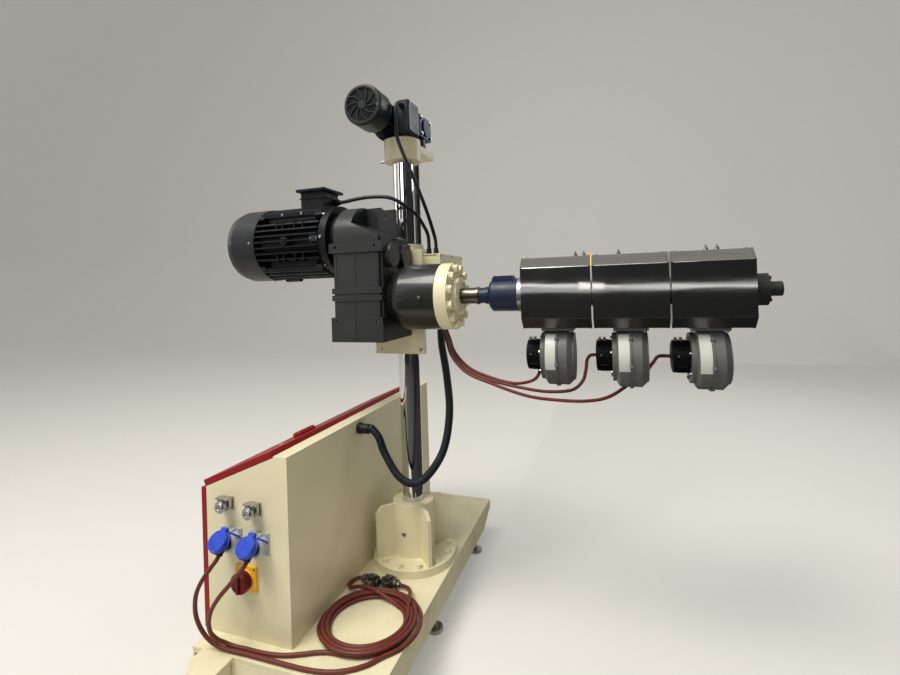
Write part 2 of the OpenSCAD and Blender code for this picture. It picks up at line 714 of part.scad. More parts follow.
// Cables: a tube follows each list of points, rounded between them

function unit(v) = v / norm(v);
function at(p, i) = p[max(0, min(len(p) - 1, i))];
function bend(p, i, t) = let (a = at(p, i - 1), b = at(p, i), c = at(p, i + 1), d = at(p, i + 2))
    b + t * (c - a) / 2 + t * t * (a - 2.5 * b + 2 * c - d / 2) + t * t * t * (1.5 * (b - c) + (d - a) / 2);
function rounded(p, n) = [for (i = [0:len(p) - 2], k = [0:n - 1]) bend(p, i, k / n), p[len(p) - 1]];
function heading(p, i) = unit(at(p, i + 1) - at(p, i - 1));
function turned(u, a, b) = let (c = cross(a, b)) u + cross(c, u) + cross(c, cross(c, u)) / (1 + a * b);
function sides(p, i = 0, u = [0, 0, 0]) = i == len(p) ? [] :
    let (t = heading(p, i), first = unit(cross(t, abs(t[2]) > 0.9 ? [1, 0, 0] : [0, 0, 1])),
         v = i == 0 ? first : turned(u, heading(p, i - 1), t)) concat([v], sides(p, i + 1, v));

module tube(points, r, n = 2, facets = 8) {
    p = rounded(points, n);
    s = sides(p);
    rings = [for (i = [0:len(p) - 1]) let (t = heading(p, i), u = s[i], v = cross(t, u))
        for (k = [0:facets - 1]) p[i] + r * (cos(k * 360 / facets) * u + sin(k * 360 / facets) * v)];
    wall = [for (i = [0:len(p) - 2], k = [0:facets - 1])
        let (a = i * facets + k, b = i * facets + (k + 1) % facets)
        each [[a, a + facets, b], [b, a + facets, b + facets]]];
    last = (len(p) - 1) * facets;
    polyhedron(rings, concat(wall, [[for (k = [0:facets - 1]) k]], [[for (k = [facets - 1:-1:0]) last + k]]));
}

conduit_path = [gland_at + [38, 0, 0], gland_at + [44, 0, 0], gland_at + [50, 0, 0], [-62, -116, 580],
    [-48, -108, 530], [-8, -102, 462], [40, -100, 438], [92, -96, 464], [146, -84, 548], [158, -50, 660],
    [134, 0, 770], [102, 48, 870], [98, 60, 960],
    conduit_end - [0, 0, 40], conduit_end - [0, 0, 20], conduit_end];
module conduit() color(black) placed() tube(conduit_path, conduit_r);

lift_gland = [38, lift_box_y[0] - 14, lift_z + 26];
function into_top(i) = [for (h = [36, 28, 20]) [top_gland[i][0], top_gland[i][1], box_top + h]];
lift_cable_path = concat([lift_gland, lift_gland - [0, 5, 0], lift_gland - [0, 10, 0], [37, -113, 1642],
    [36, -119, 1615], [35, -119, 1575], [36, -117, 1535], [56, -110, 1474], [87, -90, 1383], [106, -56, 1300],
    [110, -10, 1232]], into_top(1));
module lift_cable() color(black) placed() tube(lift_cable_path, cable_r);

motor_cable_path = concat([term_gland, term_gland + [6, 0, 0], term_gland + [12, 0, 0], [-104, -150, 1348],
    [-56, -148, 1351], [8, -140, 1346], [56, -118, 1318], [82, -72, 1285], [90, -22, 1240]], into_top(0));
module motor_cable() color(black) placed() tube(motor_cable_path, cable_r);

// three blower leads run side by side and then part to their motors
wire_r = 4.5;
harness_run = [[0, 0, 0], [0, 0, -8], [0, 0, -16], [12, -20, -75], [38, -70, -130], [72, -120, -172],
    [100, -155, -213], [153, -188, -252], [225, -208, -275]];
function strand(k, tail) =
    concat([for (p = harness_run) harness_start + p + [0, -harness_step * k, -4 * k]], tail);
function at_motor(i) = [fan_left(i) - 0.3, axis_y, fan_motor_z];
harness_ends = [
    [[430, -192, 794], [459, -177, 804], [468, -171, 814], [468, -170, 820],
        [468, -170, fan_motor_z - fan_motor_r - 0.4]],
    [[440, -210, 778], [500, -206, 772], [556, -202, 778], [590, -190, 812], [605, -174, 852],
        at_motor(1) - [10, 0, 0], at_motor(1) - [5, 0, 0], at_motor(1)],
    [[440, -222, 762], [530, -214, 752], [600, -204, 752], [650, -170, 758], [700, -90, 782], [752, -84, 826],
        [780, -130, 856], at_motor(2) - [10, 0, 0], at_motor(2) - [5, 0, 0], at_motor(2)]];
module blower_harness() color(brown) placed() for (k = [0:2])
    tube(strand(k, harness_ends[k]), wire_r, n = 1, facets = 6);

// Two coiled supply leads with their connectors

coil_at = [cab_right + coil_r + coil_w + 2, -344, deck_top];
coil_h = 11;
function coil_edge(a, gap) = [(coil_r + coil_w + gap) * cos(a), (coil_r + coil_w + gap) * sin(a), coil_h];
boot_dir = [0, -cos(boot_tip), -sin(boot_tip)];
plug_out = [for (p = socket_at) [p[0], cab_near - 26.3 - boot_base, p[1] - 4] + boot_len * boot_dir];
lead_low = deck_top + lead_r + 0.3;
function from_plug(i) = [for (d = [0, 6, 12]) plug_out[i] + d * boot_dir];
function to_coil(a) = [for (gap = [27, 14, 7, 0.4]) coil_at + coil_edge(a, gap)];
lead_one_path = concat(from_plug(0), [[-330, -572, 310], [-352, -572, 270], [-352, -556, 210],
    [-330, -534, 168], [-280, -522, lead_low], [-200, -520, lead_low], [-125, -505, lead_low + 1]],
    to_coil(-122));
lead_two_path = concat(from_plug(1), [[-250, -576, 320], [-300, -574, 270], [-318, -560, 205],
    [-290, -540, 168], [-230, -536, lead_low], [-150, -534, lead_low], [-60, -530, lead_low + 1]],
    to_coil(-95));
module lead_one() color(brown) placed() tube(lead_one_path, lead_r, n = 1);
module lead_two() color(brown) placed() tube(lead_two_path, lead_r, n = 1);
module lead_coil() color(brown) placed() translate(coil_at) rotate_extrude($fn = 64)
    translate([coil_r, 0]) polygon([[-coil_w, 4], [4 - coil_w, 0], [coil_w - 4, 0], [coil_w, 4],
        [coil_w, 2 * coil_h - 4], [coil_w - 4, 2 * coil_h], [4 - coil_w, 2 * coil_h],
        [-coil_w, 2 * coil_h - 4]]);

// each connector: housing with a latch on top, round coupling and cable clamp
connector_spot = [[-66, -190, 170], [-4, -182, -6]];
module lead_connectors() color(steel) placed() for (p = connector_spot)
    translate([p[0], p[1], deck_top]) rotate([0, 0, p[2]]) {
        block([-24, -15, 0], [14, 15, 26]);
        block([-18, -11, 25], [4, 11, 31]);
        translate([13, 0, 14.2]) rotate([0, 90, 0]) cylinder(h = 13, r = 14, $fn = 32);
        translate([25, 0, 14.2]) rotate([0, 90, 0]) cylinder(h = 9, r = 8, $fn = 24);
        translate([-30, 0, 14.2]) rotate([0, 90, 0]) cylinder(h = 7, r = 11, $fn = 24);
    }

deck_plate();
side_beams();
cross_beams();
front_arms();
levelling_feet();
cabinet_shell();
cabinet_door();
door_pivots();
door_locks();
cabinet_lid();
panel_connectors();
socket_bodies();
socket_lids();
socket_plugs();
switch_plate();
switch_knob();
conduit_gland();
column_foot();
column();
column_cap();
lift_screw();
lift_gearbox();
lift_motor();
lift_fan_cover();
lift_terminal_box();
carriage();
junction_box();
cable_glands();
gearbox();
thrust_housing();
output_flange();
feed_section();
barrel();
outlet_nozzle();
heater_cover_1();
heater_cover_2();
heater_cover_3();
blower_scrolls();
blower_motors();
drive_motor();
drive_fan_cover();
drive_terminal_box();
conduit();
lift_cable();
motor_cable();
blower_harness();
lead_one();
lead_two();
lead_coil();
lead_connectors();
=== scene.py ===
# %% [markdown]
# # A side extruder on its column
# The real machine is a welded base, an electrical cabinet with a sloped lid, a chrome column,
# and a drive head with a heated barrel that rides up and down on it.
# The solids come from the construction model and are already in their places, in metres.
# So this notebook only dresses them: it makes the cables, the small parts and the finishes.
# It could all be modelled again from nothing, but then nothing would fit the joints.

# %% Load the construction model
import json
import math
import bmesh
import bpy
from mathutils import Matrix, Vector


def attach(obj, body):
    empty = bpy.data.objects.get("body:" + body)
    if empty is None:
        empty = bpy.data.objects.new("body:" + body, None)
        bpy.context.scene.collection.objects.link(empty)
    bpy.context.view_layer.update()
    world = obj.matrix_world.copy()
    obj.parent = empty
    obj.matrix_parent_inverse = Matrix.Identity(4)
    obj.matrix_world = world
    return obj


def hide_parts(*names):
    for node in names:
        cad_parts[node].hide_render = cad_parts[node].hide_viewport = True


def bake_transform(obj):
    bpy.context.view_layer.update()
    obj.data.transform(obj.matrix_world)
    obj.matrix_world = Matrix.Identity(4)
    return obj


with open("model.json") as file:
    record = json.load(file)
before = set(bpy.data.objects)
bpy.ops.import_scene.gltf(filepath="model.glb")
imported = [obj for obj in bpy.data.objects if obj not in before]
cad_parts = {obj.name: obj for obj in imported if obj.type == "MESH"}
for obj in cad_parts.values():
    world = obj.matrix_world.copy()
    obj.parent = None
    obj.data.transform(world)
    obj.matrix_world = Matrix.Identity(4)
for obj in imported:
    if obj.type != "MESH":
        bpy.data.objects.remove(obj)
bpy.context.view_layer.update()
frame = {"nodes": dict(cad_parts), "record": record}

scene = bpy.context.scene

# %% [markdown]
# ## The camera
# The photograph was taken from about shoulder height, close by, with a slight tilt. A camera
# can be placed by eye, but here it was solved from the straight edges of the cabinet, deck and
# barrel, so that every later comparison is fair. Sizes are kept in millimetres from the
# column's centre line, as on the drawing, and `spot` turns them into metres.

# %% Camera
COLUMN = Vector((-0.2645, 0.0685, 0))
TO_FRAME = Matrix.Translation(COLUMN) @ Matrix.Scale(0.001, 4)


def spot(x, y, z):
    return TO_FRAME @ Vector((x, y, z))


camera = bpy.data.objects.new("camera", bpy.data.cameras.new("camera"))
scene.collection.objects.link(camera)
scene.camera = camera
frame_width, frame_height = 900, 675
focal_pixels, centre_row = 478.786, 284.09
camera.data.sensor_width = 36
camera.data.lens = camera.data.sensor_width * focal_pixels / frame_width
camera.data.shift_y = -(frame_height / 2 - centre_row) / frame_width
yaw, pitch, roll = (math.radians(a) for a in (18.968, -0.243, 1.821))
camera.matrix_world = (Matrix.Translation(spot(671.125, -1498, 1061.75)) @ Matrix.Rotation(yaw, 4, "Z")
                       @ Matrix.Rotation(math.pi / 2 - pitch, 4, "X") @ Matrix.Rotation(-roll, 4, "Z"))
print("camera at", [round(v, 3) for v in camera.matrix_world.translation])

# %% [markdown]
# ## Cables
# A cable is a fixed length of something flexible. Its route is a short list of points from the
# drawing. A Bezier spline could join them, but here `along` works out dense points on the same
# smooth line, because its length is then known exactly. A curve with a round bevel makes the
# tube, and it becomes a mesh at once, since a mesh can carry ribs.

# %% Routes and tubes
def along(points, steps):
    """Points on the smooth line through the route, in metres."""
    p = [spot(*q) for q in points]
    line = []
    for i in range(len(p) - 1):
        a, b, c, d = p[max(i - 1, 0)], p[i], p[i + 1], p[min(i + 2, len(p) - 1)]
        for k in range(steps):
            t = k / steps
            line.append(b + (c - a) * t / 2 + (a - 2.5 * b + 2 * c - d / 2) * t * t
                        + (1.5 * (b - c) + (d - a) / 2) * t ** 3)
    return line + [p[-1]]


def measured(line):
    return sum((b - a).length for a, b in zip(line, line[1:]))


def tube_mesh(name, line, radius, depth=0.0, sides=4):
    """A cable as a mesh along a dense line; a depth cuts a groove at every fourth ring, as ribs."""
    plain_end, groove = 12, (0, 0.6, 1, 0.6)
    curve = bpy.data.curves.new(name + "_line", "CURVE")
    curve.dimensions = "3D"
    curve.bevel_depth = radius / 1000
    curve.bevel_resolution = sides
    curve.use_fill_caps = True
    spline = curve.splines.new("POLY")
    spline.points.add(len(line) - 1)
    for i, (knot, co) in enumerate(zip(spline.points, line)):
        knot.co = (*co, 1)
        ribbed = plain_end < i < len(line) - plain_end
        knot.radius = 1 - depth / radius * groove[i % 4] if ribbed else 1
    holder = bpy.data.objects.new(name + "_holder", curve)
    scene.collection.objects.link(holder)
    tube_now = holder.evaluated_get(bpy.context.evaluated_depsgraph_get())
    mesh = bpy.data.meshes.new_from_object(tube_now)
    mesh.name = name
    bpy.data.objects.remove(holder)
    tube = bpy.data.objects.new(name, mesh)
    scene.collection.objects.link(tube)
    mesh.shade_smooth()
    return tube


def evenly(line, step):
    """The same line with its points one step apart, in metres."""
    out, left = [line[0]], step
    for a, b in zip(line, line[1:]):
        run = (b - a).length
        while run >= left:
            a = a + (b - a) * (left / run)
            run = (b - a).length
            out.append(a)
            left = step
        left -= run
    if (line[-1] - out[-1]).length <= step * 0.3:
        out.pop()
    return out + [line[-1]]


# %% [markdown]
# ## The conduit and the two motor cables
# A ribbed black conduit loops from the cabinet to the junction box on the head, and takes up
# the lift. The lift motor's cable hangs beside the column. Both run from the base to the head,
# and here they are baked in place and ride on neither body.
# The main motor's cable rides on the head alone.

# %% Conduit and motor cables
conduit_route = [
    (-95, -120, 608), (-89, -120, 608), (-83, -120, 608), (-62, -116, 580), (-48, -108, 530),
    (-8, -102, 462), (40, -100, 438), (92, -96, 464), (146, -84, 548), (158, -50, 660),
    (134, 0, 770), (102, 48, 870), (98, 60, 960), (100, 60, 1025), (100, 60, 1045), (100, 60, 1065)]
conduit_line = evenly(along(conduit_route, 40), 0.001)
conduit = tube_mesh("conduit_ribbed", conduit_line, 13, 1.3, 5)
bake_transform(conduit)
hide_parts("conduit")

lift_route = [
    (38, -92, 1652), (38, -97, 1652), (38, -103, 1651.3), (37.6, -113, 1647), (37, -120.5, 1638.5),
    (36.2, -124, 1625), (35.6, -124.5, 1606), (35, -122.5, 1578), (36, -117, 1535), (56, -110, 1474),
    (87, -90, 1383), (106, -56, 1300), (110, -10, 1232), (108, 8, 1206), (108, 8, 1198), (108, 8, 1190)]
lift_line = along(lift_route, 12)
lift_cable = tube_mesh("lift_motor_cable", lift_line, 6, sides=3)
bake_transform(lift_cable)
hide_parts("lift_cable")

motor_route = [
    (-160, -150, 1343), (-154, -150, 1343), (-148, -150, 1343), (-128, -150, 1345), (-104, -150, 1348),
    (-80, -149, 1350), (-56, -148, 1351), (-22, -145, 1350), (8, -140, 1346), (34, -131, 1335),
    (56, -118, 1318), (72, -98, 1302), (82, -72, 1285), (90, -22, 1240), (86, 0, 1206), (86, 0, 1198),
    (86, 0, 1190)]
motor_line = along(motor_route, 12)
motor_cable = tube_mesh("main_motor_cable", motor_line, 6, sides=3)
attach(motor_cable, "drive_head")
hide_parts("motor_cable")
for cable, line in ((conduit, conduit_line), (lift_cable, lift_line), (motor_cable, motor_line)):
    print(cable.name, "length", round(measured(line), 3), "m")

# %% [markdown]
# ## Blower wires
# Three red-brown wires leave the junction box's foot together, hang in one long arc under the
# neck, and part to the three blower motors. They share their first points, shifted side by side.

# %% Blower wires
wire_hole = (112, 20, 1075)
wire_shift = (0, -14, -4)
wire_run = [
    (0, 0, 0), (0, 0, -8), (0, 0, -16), (12, -20, -75), (38, -70, -130), (72, -120, -172),
    (100, -155, -213), (153, -188, -252), (225, -208, -275)]
wire_ends = [
    [(400, -200, 790), (436, -190, 792), (457, -178, 800), (467, -171, 814), (468, -170, 820),
     (468, -170, 825.6)],
    [(440, -210, 778), (500, -206, 772), (556, -202, 778), (583, -193, 800), (592, -182, 828),
     (595, -174, 852), (602, -170.5, 864), (612, -170, 867), (620.7, -170, 867)],
    [(440, -222, 762), (530, -214, 752), (600, -204, 752), (650, -170, 758), (700, -100, 778),
     (742, -80, 808), (762, -100, 838), (769, -126, 855), (774.5, -150, 863.5), (782, -164, 866.5),
     (791, -169.5, 867), (801.7, -170, 867)]]
blower_wires = []
for k, tail in enumerate(wire_ends):
    start = [hole + k * shift for hole, shift in zip(wire_hole, wire_shift)]
    route = [tuple(s + d for s, d in zip(start, step)) for step in wire_run] + tail
    line = along(route, 8)
    wire = tube_mesh(f"blower_wire_{k + 1}", line, 4.5, sides=2)
    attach(wire, "drive_head")
    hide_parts("blower_harness")
    blower_wires.append(wire)
    print(wire.name, "length", round(measured(line), 3), "m")

# %% [markdown]
# ## The two supply leads
# Each lead hangs from its plug, crosses the deck and lies in loose turns with the other one,
# and ends in a metal connector behind the coil. The turns are a spiral: the angle grows, the
# radius shrinks, and most turns of the first lead lie on the second. A simulation could drop
# them, but a spiral keeps its length exactly and never cuts through itself.

# %% Leads and their coil
COIL = Vector((10, -344, 150))
points_per_turn = 14


def turns(start, end, r0, r1, z, shift=(0, 0), sway=1.5):
    """Loose turns on the deck from one angle to another, in degrees, that are never quite round."""
    count = round((end - start) / 360 * points_per_turn)
    points = []
    for i in range(count + 1):
        t = i / count
        a = math.radians(start + (end - start) * t)
        r = r0 + (r1 - r0) * t + sway * math.sin(2 * a + 0.7)
        points.append((COIL.x + shift[0] + r * math.cos(a), COIL.y + shift[1] + r * math.sin(a), COIL.z + z))
    return points


lead_routes = {
    "lead_one": [
        (-309, -536.05, 389.9), (-309.3, -540, 385.4), (-310.8, -544.6, 380.4), (-318, -555, 367),
        (-333, -566, 342), (-347, -571, 312), (-355, -570, 278), (-357, -565, 243), (-352, -556, 208),
        (-339, -547, 180), (-316, -541, 163), (-286, -537, 156.2), (-252, -535.5, 155.8),
        (-216, -534.5, 155.8), (-180, -534.5, 155.8), (-140, -534, 155.8), (-100, -534, 155.8),
        (-60, -533, 155.8), (-20, -528.5, 155.8), (18, -518, 155.8), (51, -500.5, 155.8),
        (80, -476, 155.8)]
    + turns(-50, 208, 137, 135, 6, (4, 1)) + turns(243, 1100, 130, 104, 17)
    + [(103, -291, 171), (97.5, -274, 176.5), (92, -257, 178.5), (86.5, -240, 178),
       (80.5, -224, 175), (73, -209.5, 171), (63, -197.5, 167.5), (51, -190, 165),
       (38, -186.6, 164.2), (29.8, -185.6, 164.2)],
    "lead_two": [
        (-221, -536.05, 387.9), (-221.3, -540, 383.4), (-223.3, -544.6, 378.4), (-232, -556, 364),
        (-250, -568, 341), (-273, -575, 314), (-296, -576, 280), (-312, -570, 244), (-319, -559, 210),
        (-315, -545, 184), (-302, -531, 167), (-280, -524, 157.5), (-245, -521, 155.8),
        (-200, -520, 155.8), (-160, -516, 155.8), (-125, -507, 155.8), (-92, -493, 155.8),
        (-60, -478, 155.8), (-30, -469.5, 155.8)]
    + turns(-92, 760, 124, 97.5, 6)
    + [(58, -262.5, 157), (34, -253.5, 161), (10, -250, 168), (-12, -247.5, 176), (-28, -245.5, 178),
       (-46, -243, 178), (-64, -240.5, 176.5), (-80, -237, 172), (-94.5, -233.7, 166),
       (-107.7, -230.3, 160.5), (-118.7, -225.2, 158), (-125.7, -215.2, 157.5),
       (-126.7, -203.1, 158), (-121.6, -192.1, 160), (-111.6, -185.1, 162.8), (-99.5, -184.1, 164.2)],
}
lead_lines = {name: along(route, 8) for name, route in lead_routes.items()}
leads = {}
for name, line in lead_lines.items():
    lead = tube_mesh(name + "_cable", line, 5.5, sides=3)
    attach(lead, "base")
    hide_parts(name, *(["lead_coil"] if name == "lead_one" else []))
    leads[name] = lead
    print(lead.name, "length", round(measured(line), 3), "m in", len(lead_routes[name]), "points")

# %% [markdown]
# ## Finishes
# Nearly everything here is enamelled metal, bare steel, rubber or moulded plastic. An image
# could paint each piece, but procedural finishes stay sharp at any distance. Each one mixes
# two or three tones with noise on the object's own coordinates, varies its roughness, and adds
# a fine bump, so that cream enamel shows its orange peel and handling marks. What is the same
# all over a finish, such as its gloss coat, is set on the shader's own socket.

# %% Finish helpers
def shader(name):
    material = bpy.data.materials.new(name)
    material.use_nodes = True
    tree = material.node_tree
    return material, tree, tree.nodes["Principled BSDF"]


def add(tree, kind, inputs=(), **settings):
    """A node with its settings and inputs; an input that is another node's output is linked."""
    node = tree.nodes.new("ShaderNode" + kind)
    for key, value in settings.items():
        setattr(node, key, value)
    for key, value in dict(inputs).items():
        if isinstance(value, bpy.types.NodeSocket):
            tree.links.new(value, node.inputs[key])
        else:
            node.inputs[key].default_value = value
    return node


def blotches(tree, scale, detail=4.0, stretch=(1, 1, 1), roughness=0.55):
    """Noise on the object's own coordinates, stretched along an axis if it should streak."""
    where = add(tree, "TexCoord")
    mapped = add(tree, "Mapping", {"Vector": where.outputs["Object"], "Scale": stretch})
    return add(tree, "TexNoise", {"Vector": mapped.outputs[0], "Scale": scale, "Detail": detail,
                                  "Roughness": roughness}).outputs["Fac"]


def between(tree, value, low, high, to_low=0.0, to_high=1.0):
    return add(tree, "MapRange", {"Value": value, "From Min": low, "From Max": high, "To Min": to_low,
                                  "To Max": to_high}).outputs[0]


def mixed(tree, share, first, second):
    node = add(tree, "Mix", data_type="RGBA")
    for socket, value in ((node.inputs[0], share), (node.inputs[6], first), (node.inputs[7], second)):
        if isinstance(value, bpy.types.NodeSocket):
            tree.links.new(value, socket)
        else:
            socket.default_value = value if isinstance(value, float) else (*value, 1)
    return node.outputs[2]


def bumped(tree, surface, height, distance, strength=1.0):
    bump = add(tree, "Bump", {"Height": height, "Distance": distance, "Strength": strength})
    tree.links.new(bump.outputs[0], surface.inputs["Normal"])


# %% Enamel
def enamel(name, colour, shade, rough=0.32, low_tone=None, low_tone_top=0.0, coat=0.0, peel=0.00010, worn=0.25,
           specular=0.5):
    """Enamel on metal: two tones in patches, orange peel, dull handling marks, darker towards the floor."""
    material, tree, surface = shader(name)
    tone = between(tree, blotches(tree, 3.2, 3.0), 0.35, 0.68)
    colour_now = mixed(tree, tone, colour, shade)
    speck = between(tree, blotches(tree, 46.0, 6.0, roughness=0.7), 0.62, 0.74, 0.0, worn)
    colour_now = mixed(tree, speck, colour_now, tuple(c * 0.66 for c in colour))
    # Below a given height the colour turns darker towards the floor, in patches of noise.
    if low_tone:
        where = add(tree, "SeparateXYZ", {"Vector": add(tree, "TexCoord").outputs["Object"]})
        low = between(tree, where.outputs["Z"], low_tone_top, 0.02, 0.0, 0.45)
        low_patches = between(tree, blotches(tree, 9.0, 8.0, (1, 1, 0.6), 0.62), 0.48, 0.72)
        share = add(tree, "Math", {0: low, 1: low_patches}, operation="MULTIPLY").outputs[0]
        colour_now = mixed(tree, share, colour_now, low_tone)
    tree.links.new(colour_now, surface.inputs["Base Color"])
    tree.links.new(between(tree, blotches(tree, 14.0, 5.0), 0.3, 0.7, rough - 0.06, rough + 0.10),
                   surface.inputs["Roughness"])
    surface.inputs["Specular IOR Level"].default_value = specular
    surface.inputs["Coat Weight"].default_value = coat
    surface.inputs["Coat Roughness"].default_value = 0.10
    bumped(tree, surface, blotches(tree, 320.0, 2.0), peel, 0.6)
    return material


# %% Bare metal, plastic and rubber
def bare_metal(name, colour, shade, rough=0.25, stretch=(1, 1, 1), scale=60.0, spread=0.08, wave=0.0,
               wave_scale=6.0, dull_and_shade_below=0.0):
    """Bare metal: tone and roughness streak along the grain, with a slow wave where it is thin sheet.

    Faces that look down can be duller, by `dull_and_shade_below`, where heat and dust took the shine,
    and their colour is then darkened towards grey as painted shade.
    """
    material, tree, surface = shader(name)
    surface.inputs["Metallic"].default_value = 1.0
    grain = blotches(tree, scale, 4.0, stretch)
    streak = between(tree, grain, 0.3, 0.7)
    tone = mixed(tree, streak, colour, shade)
    smudge = between(tree, blotches(tree, 11.0, 6.0, roughness=0.6), 0.45, 0.75, rough, rough + spread)
    both = add(tree, "Math", {0: between(tree, grain, 0.3, 0.7, 0.0, spread), 1: smudge}, operation="ADD")
    if dull_and_shade_below:
        facing = add(tree, "SeparateXYZ", {0: add(tree, "TexCoord").outputs["Normal"]})
        below = between(tree, facing.outputs["Z"], -0.5, -0.3, 1.0, 0.0)
        both = add(tree, "Math", {0: below, 1: dull_and_shade_below, 2: both.outputs[0]}, operation="MULTIPLY_ADD")
        # Downward faces are also given a darker grey colour: painted shade that dims their reflections.
        tone = mixed(tree, below, tone, (0.20, 0.19, 0.18))
    tree.links.new(tone, surface.inputs["Base Color"])
    tree.links.new(both.outputs[0], surface.inputs["Roughness"])
    if wave:
        bumped(tree, surface, blotches(tree, wave_scale, 2.0, (0.4, 1, 1.6)), wave)
    else:
        bumped(tree, surface, grain, 0.00004, 0.5)
    return material


def moulded(name, colour, shade, rough=0.4, grain=0.00006, scale=500.0, coat=0.0, specular=0.5):
    """Plastic or rubber: an even colour with a trace of dust, and a fine moulded grain."""
    material, tree, surface = shader(name)
    dust = between(tree, blotches(tree, 24.0, 6.0, roughness=0.65), 0.48, 0.8)
    tree.links.new(mixed(tree, dust, colour, shade), surface.inputs["Base Color"])
    tree.links.new(between(tree, blotches(tree, 60.0, 4.0), 0.3, 0.7, rough - 0.06, rough + 0.1),
                   surface.inputs["Roughness"])
    surface.inputs["Specular IOR Level"].default_value = specular
    surface.inputs["Coat Weight"].default_value = coat
    bumped(tree, surface, blotches(tree, scale, 2.0), grain, 0.6)
    return material


# %% Finishes by material slot
finishes = {
    "cream_paint": enamel("cream_enamel", (0.80, 0.735, 0.50), (0.74, 0.675, 0.45), 0.36,
                          (0.34, 0.27, 0.16), 0.34),
    "red_paint": enamel("red_enamel", (0.27, 0.009, 0.011), (0.225, 0.008, 0.010), 0.42, worn=0.15,
                        specular=0.22),
    "dark_paint": enamel("anthracite_enamel", (0.022, 0.0245, 0.026), (0.015, 0.017, 0.018), 0.34,
                         worn=0.35, specular=0.4),
    "navy_paint": enamel("navy_enamel", (0.016, 0.024, 0.060), (0.010, 0.016, 0.042), 0.36, worn=0.3,
                         specular=0.3),
    "grey_casting": enamel("grey_enamel", (0.125, 0.128, 0.125), (0.095, 0.098, 0.098), 0.40,
                           worn=0.3, specular=0.4),
    "fan_black": enamel("black_enamel", (0.003, 0.0035, 0.0045), (0.005, 0.0055, 0.0065), 0.46,
                        worn=0.15, specular=0.08),
    "hard_chrome": bare_metal("hard_chrome", (0.72, 0.72, 0.73), (0.62, 0.62, 0.63), 0.045,
                              (1, 1, 0.05), 90.0, 0.02),
    "plain_steel": bare_metal("turned_steel", (0.46, 0.45, 0.43), (0.32, 0.31, 0.29), 0.24,
                              (0.2, 1, 1), 120.0, 0.12),
    "polished_stainless": bare_metal("polished_sheet", (0.62, 0.62, 0.61), (0.55, 0.55, 0.54), 0.03,
                                     (0.05, 1, 1), 90.0, 0.02, 0.0002, 7.0, 0.3),
    "die_cast_zinc": bare_metal("nickelled_zinc", (0.56, 0.55, 0.53), (0.38, 0.37, 0.35), 0.20,
                                (1, 1, 1), 140.0, 0.10),
    "socket_grey": moulded("socket_grey_plastic", (0.46, 0.49, 0.50), (0.38, 0.40, 0.40), 0.34),
    "socket_blue": moulded("socket_blue_plastic", (0.012, 0.050, 0.50), (0.018, 0.060, 0.42), 0.26,
                           coat=0.1),
    "black_plastic": moulded("black_nylon", (0.009, 0.009, 0.011), (0.024, 0.024, 0.024), 0.42,
                             specular=0.3),
    "switch_yellow": moulded("switch_yellow_plastic", (0.95, 0.50, 0.03), (0.84, 0.42, 0.03), 0.34),
    "switch_red": moulded("switch_red_plastic", (0.11, 0.003, 0.004), (0.085, 0.003, 0.004), 0.32,
                          specular=0.2),
    "conduit_rubber": moulded("conduit_sheath", (0.010, 0.013, 0.022), (0.024, 0.028, 0.038), 0.46,
                              specular=0.3),
    "black_cable": moulded("cable_sheath_black", (0.010, 0.011, 0.014), (0.024, 0.024, 0.028), 0.38,
                           specular=0.35),
    "brown_cable": moulded("cable_sheath_brown", (0.140, 0.030, 0.021), (0.105, 0.028, 0.020), 0.40,
                           specular=0.28),
}
motor_black = enamel("motor_enamel", (0.0080, 0.0095, 0.0125), (0.0055, 0.0065, 0.009), 0.40, worn=0.4,
                     specular=0.2)
cowl_black = enamel("cowl_enamel", (0.018, 0.020, 0.023), (0.012, 0.0135, 0.016), 0.34, worn=0.3,
                    specular=0.3)
box_blue_grey = enamel("terminal_box_enamel", (0.013, 0.020, 0.031), (0.010, 0.015, 0.024), 0.38,
                       worn=0.3, specular=0.35)
gloss_black = enamel("gloss_enamel", (0.013, 0.014, 0.014), (0.010, 0.011, 0.011), 0.34, coat=0.35,
                     peel=0.00004, worn=0.2, specular=0.3)
worm_navy = enamel("worm_enamel", (0.014, 0.026, 0.105), (0.010, 0.018, 0.075), 0.40, worn=0.3,
                   specular=0.22)
dark_steel = bare_metal("oiled_steel", (0.16, 0.155, 0.15), (0.09, 0.088, 0.085), 0.30, (1, 1, 0.3),
                        110.0, 0.12)
neck_steel = bare_metal("neck_steel", (0.17, 0.155, 0.12), (0.10, 0.09, 0.075), 0.24, (0.2, 1, 1),
                        90.0, 0.12)
label_film = moulded("blank_label_film", (0.60, 0.61, 0.57), (0.52, 0.53, 0.49), 0.35)
special = (motor_black, cowl_black, box_blue_grey, gloss_black, worm_navy, dark_steel, neck_steel,
           label_film)
sheaths = {"conduit_rubber": [conduit], "black_cable": [lift_cable, motor_cable],
           "brown_cable": [*blower_wires, *leads.values()]}
for sheath, cables in sheaths.items():
    for cable in cables:
        cable.data.materials.append(finishes[sheath])
print("finishes", len(finishes) + len(special))

# %% [markdown]
# ## Softened castings and sheets
# The drawing's edges are knife sharp, but a casting is rounded, a fold has a radius and paint
# fills corners. A node's mesh is loose triangles, so a copy of it is merged, its flat faces are
# joined again, and its sharp edges get a small bevel. That keeps every size, and each edge
# then catches a thin line of light as in the photograph.

# %% Soften helper
record = frame["record"]
slot_of = {row["node"]: row["material_slot"] for row in record["subparts"]}
body_of = {node: body for body, nodes in record["behaviour"]["bodies"].items() for node in nodes}


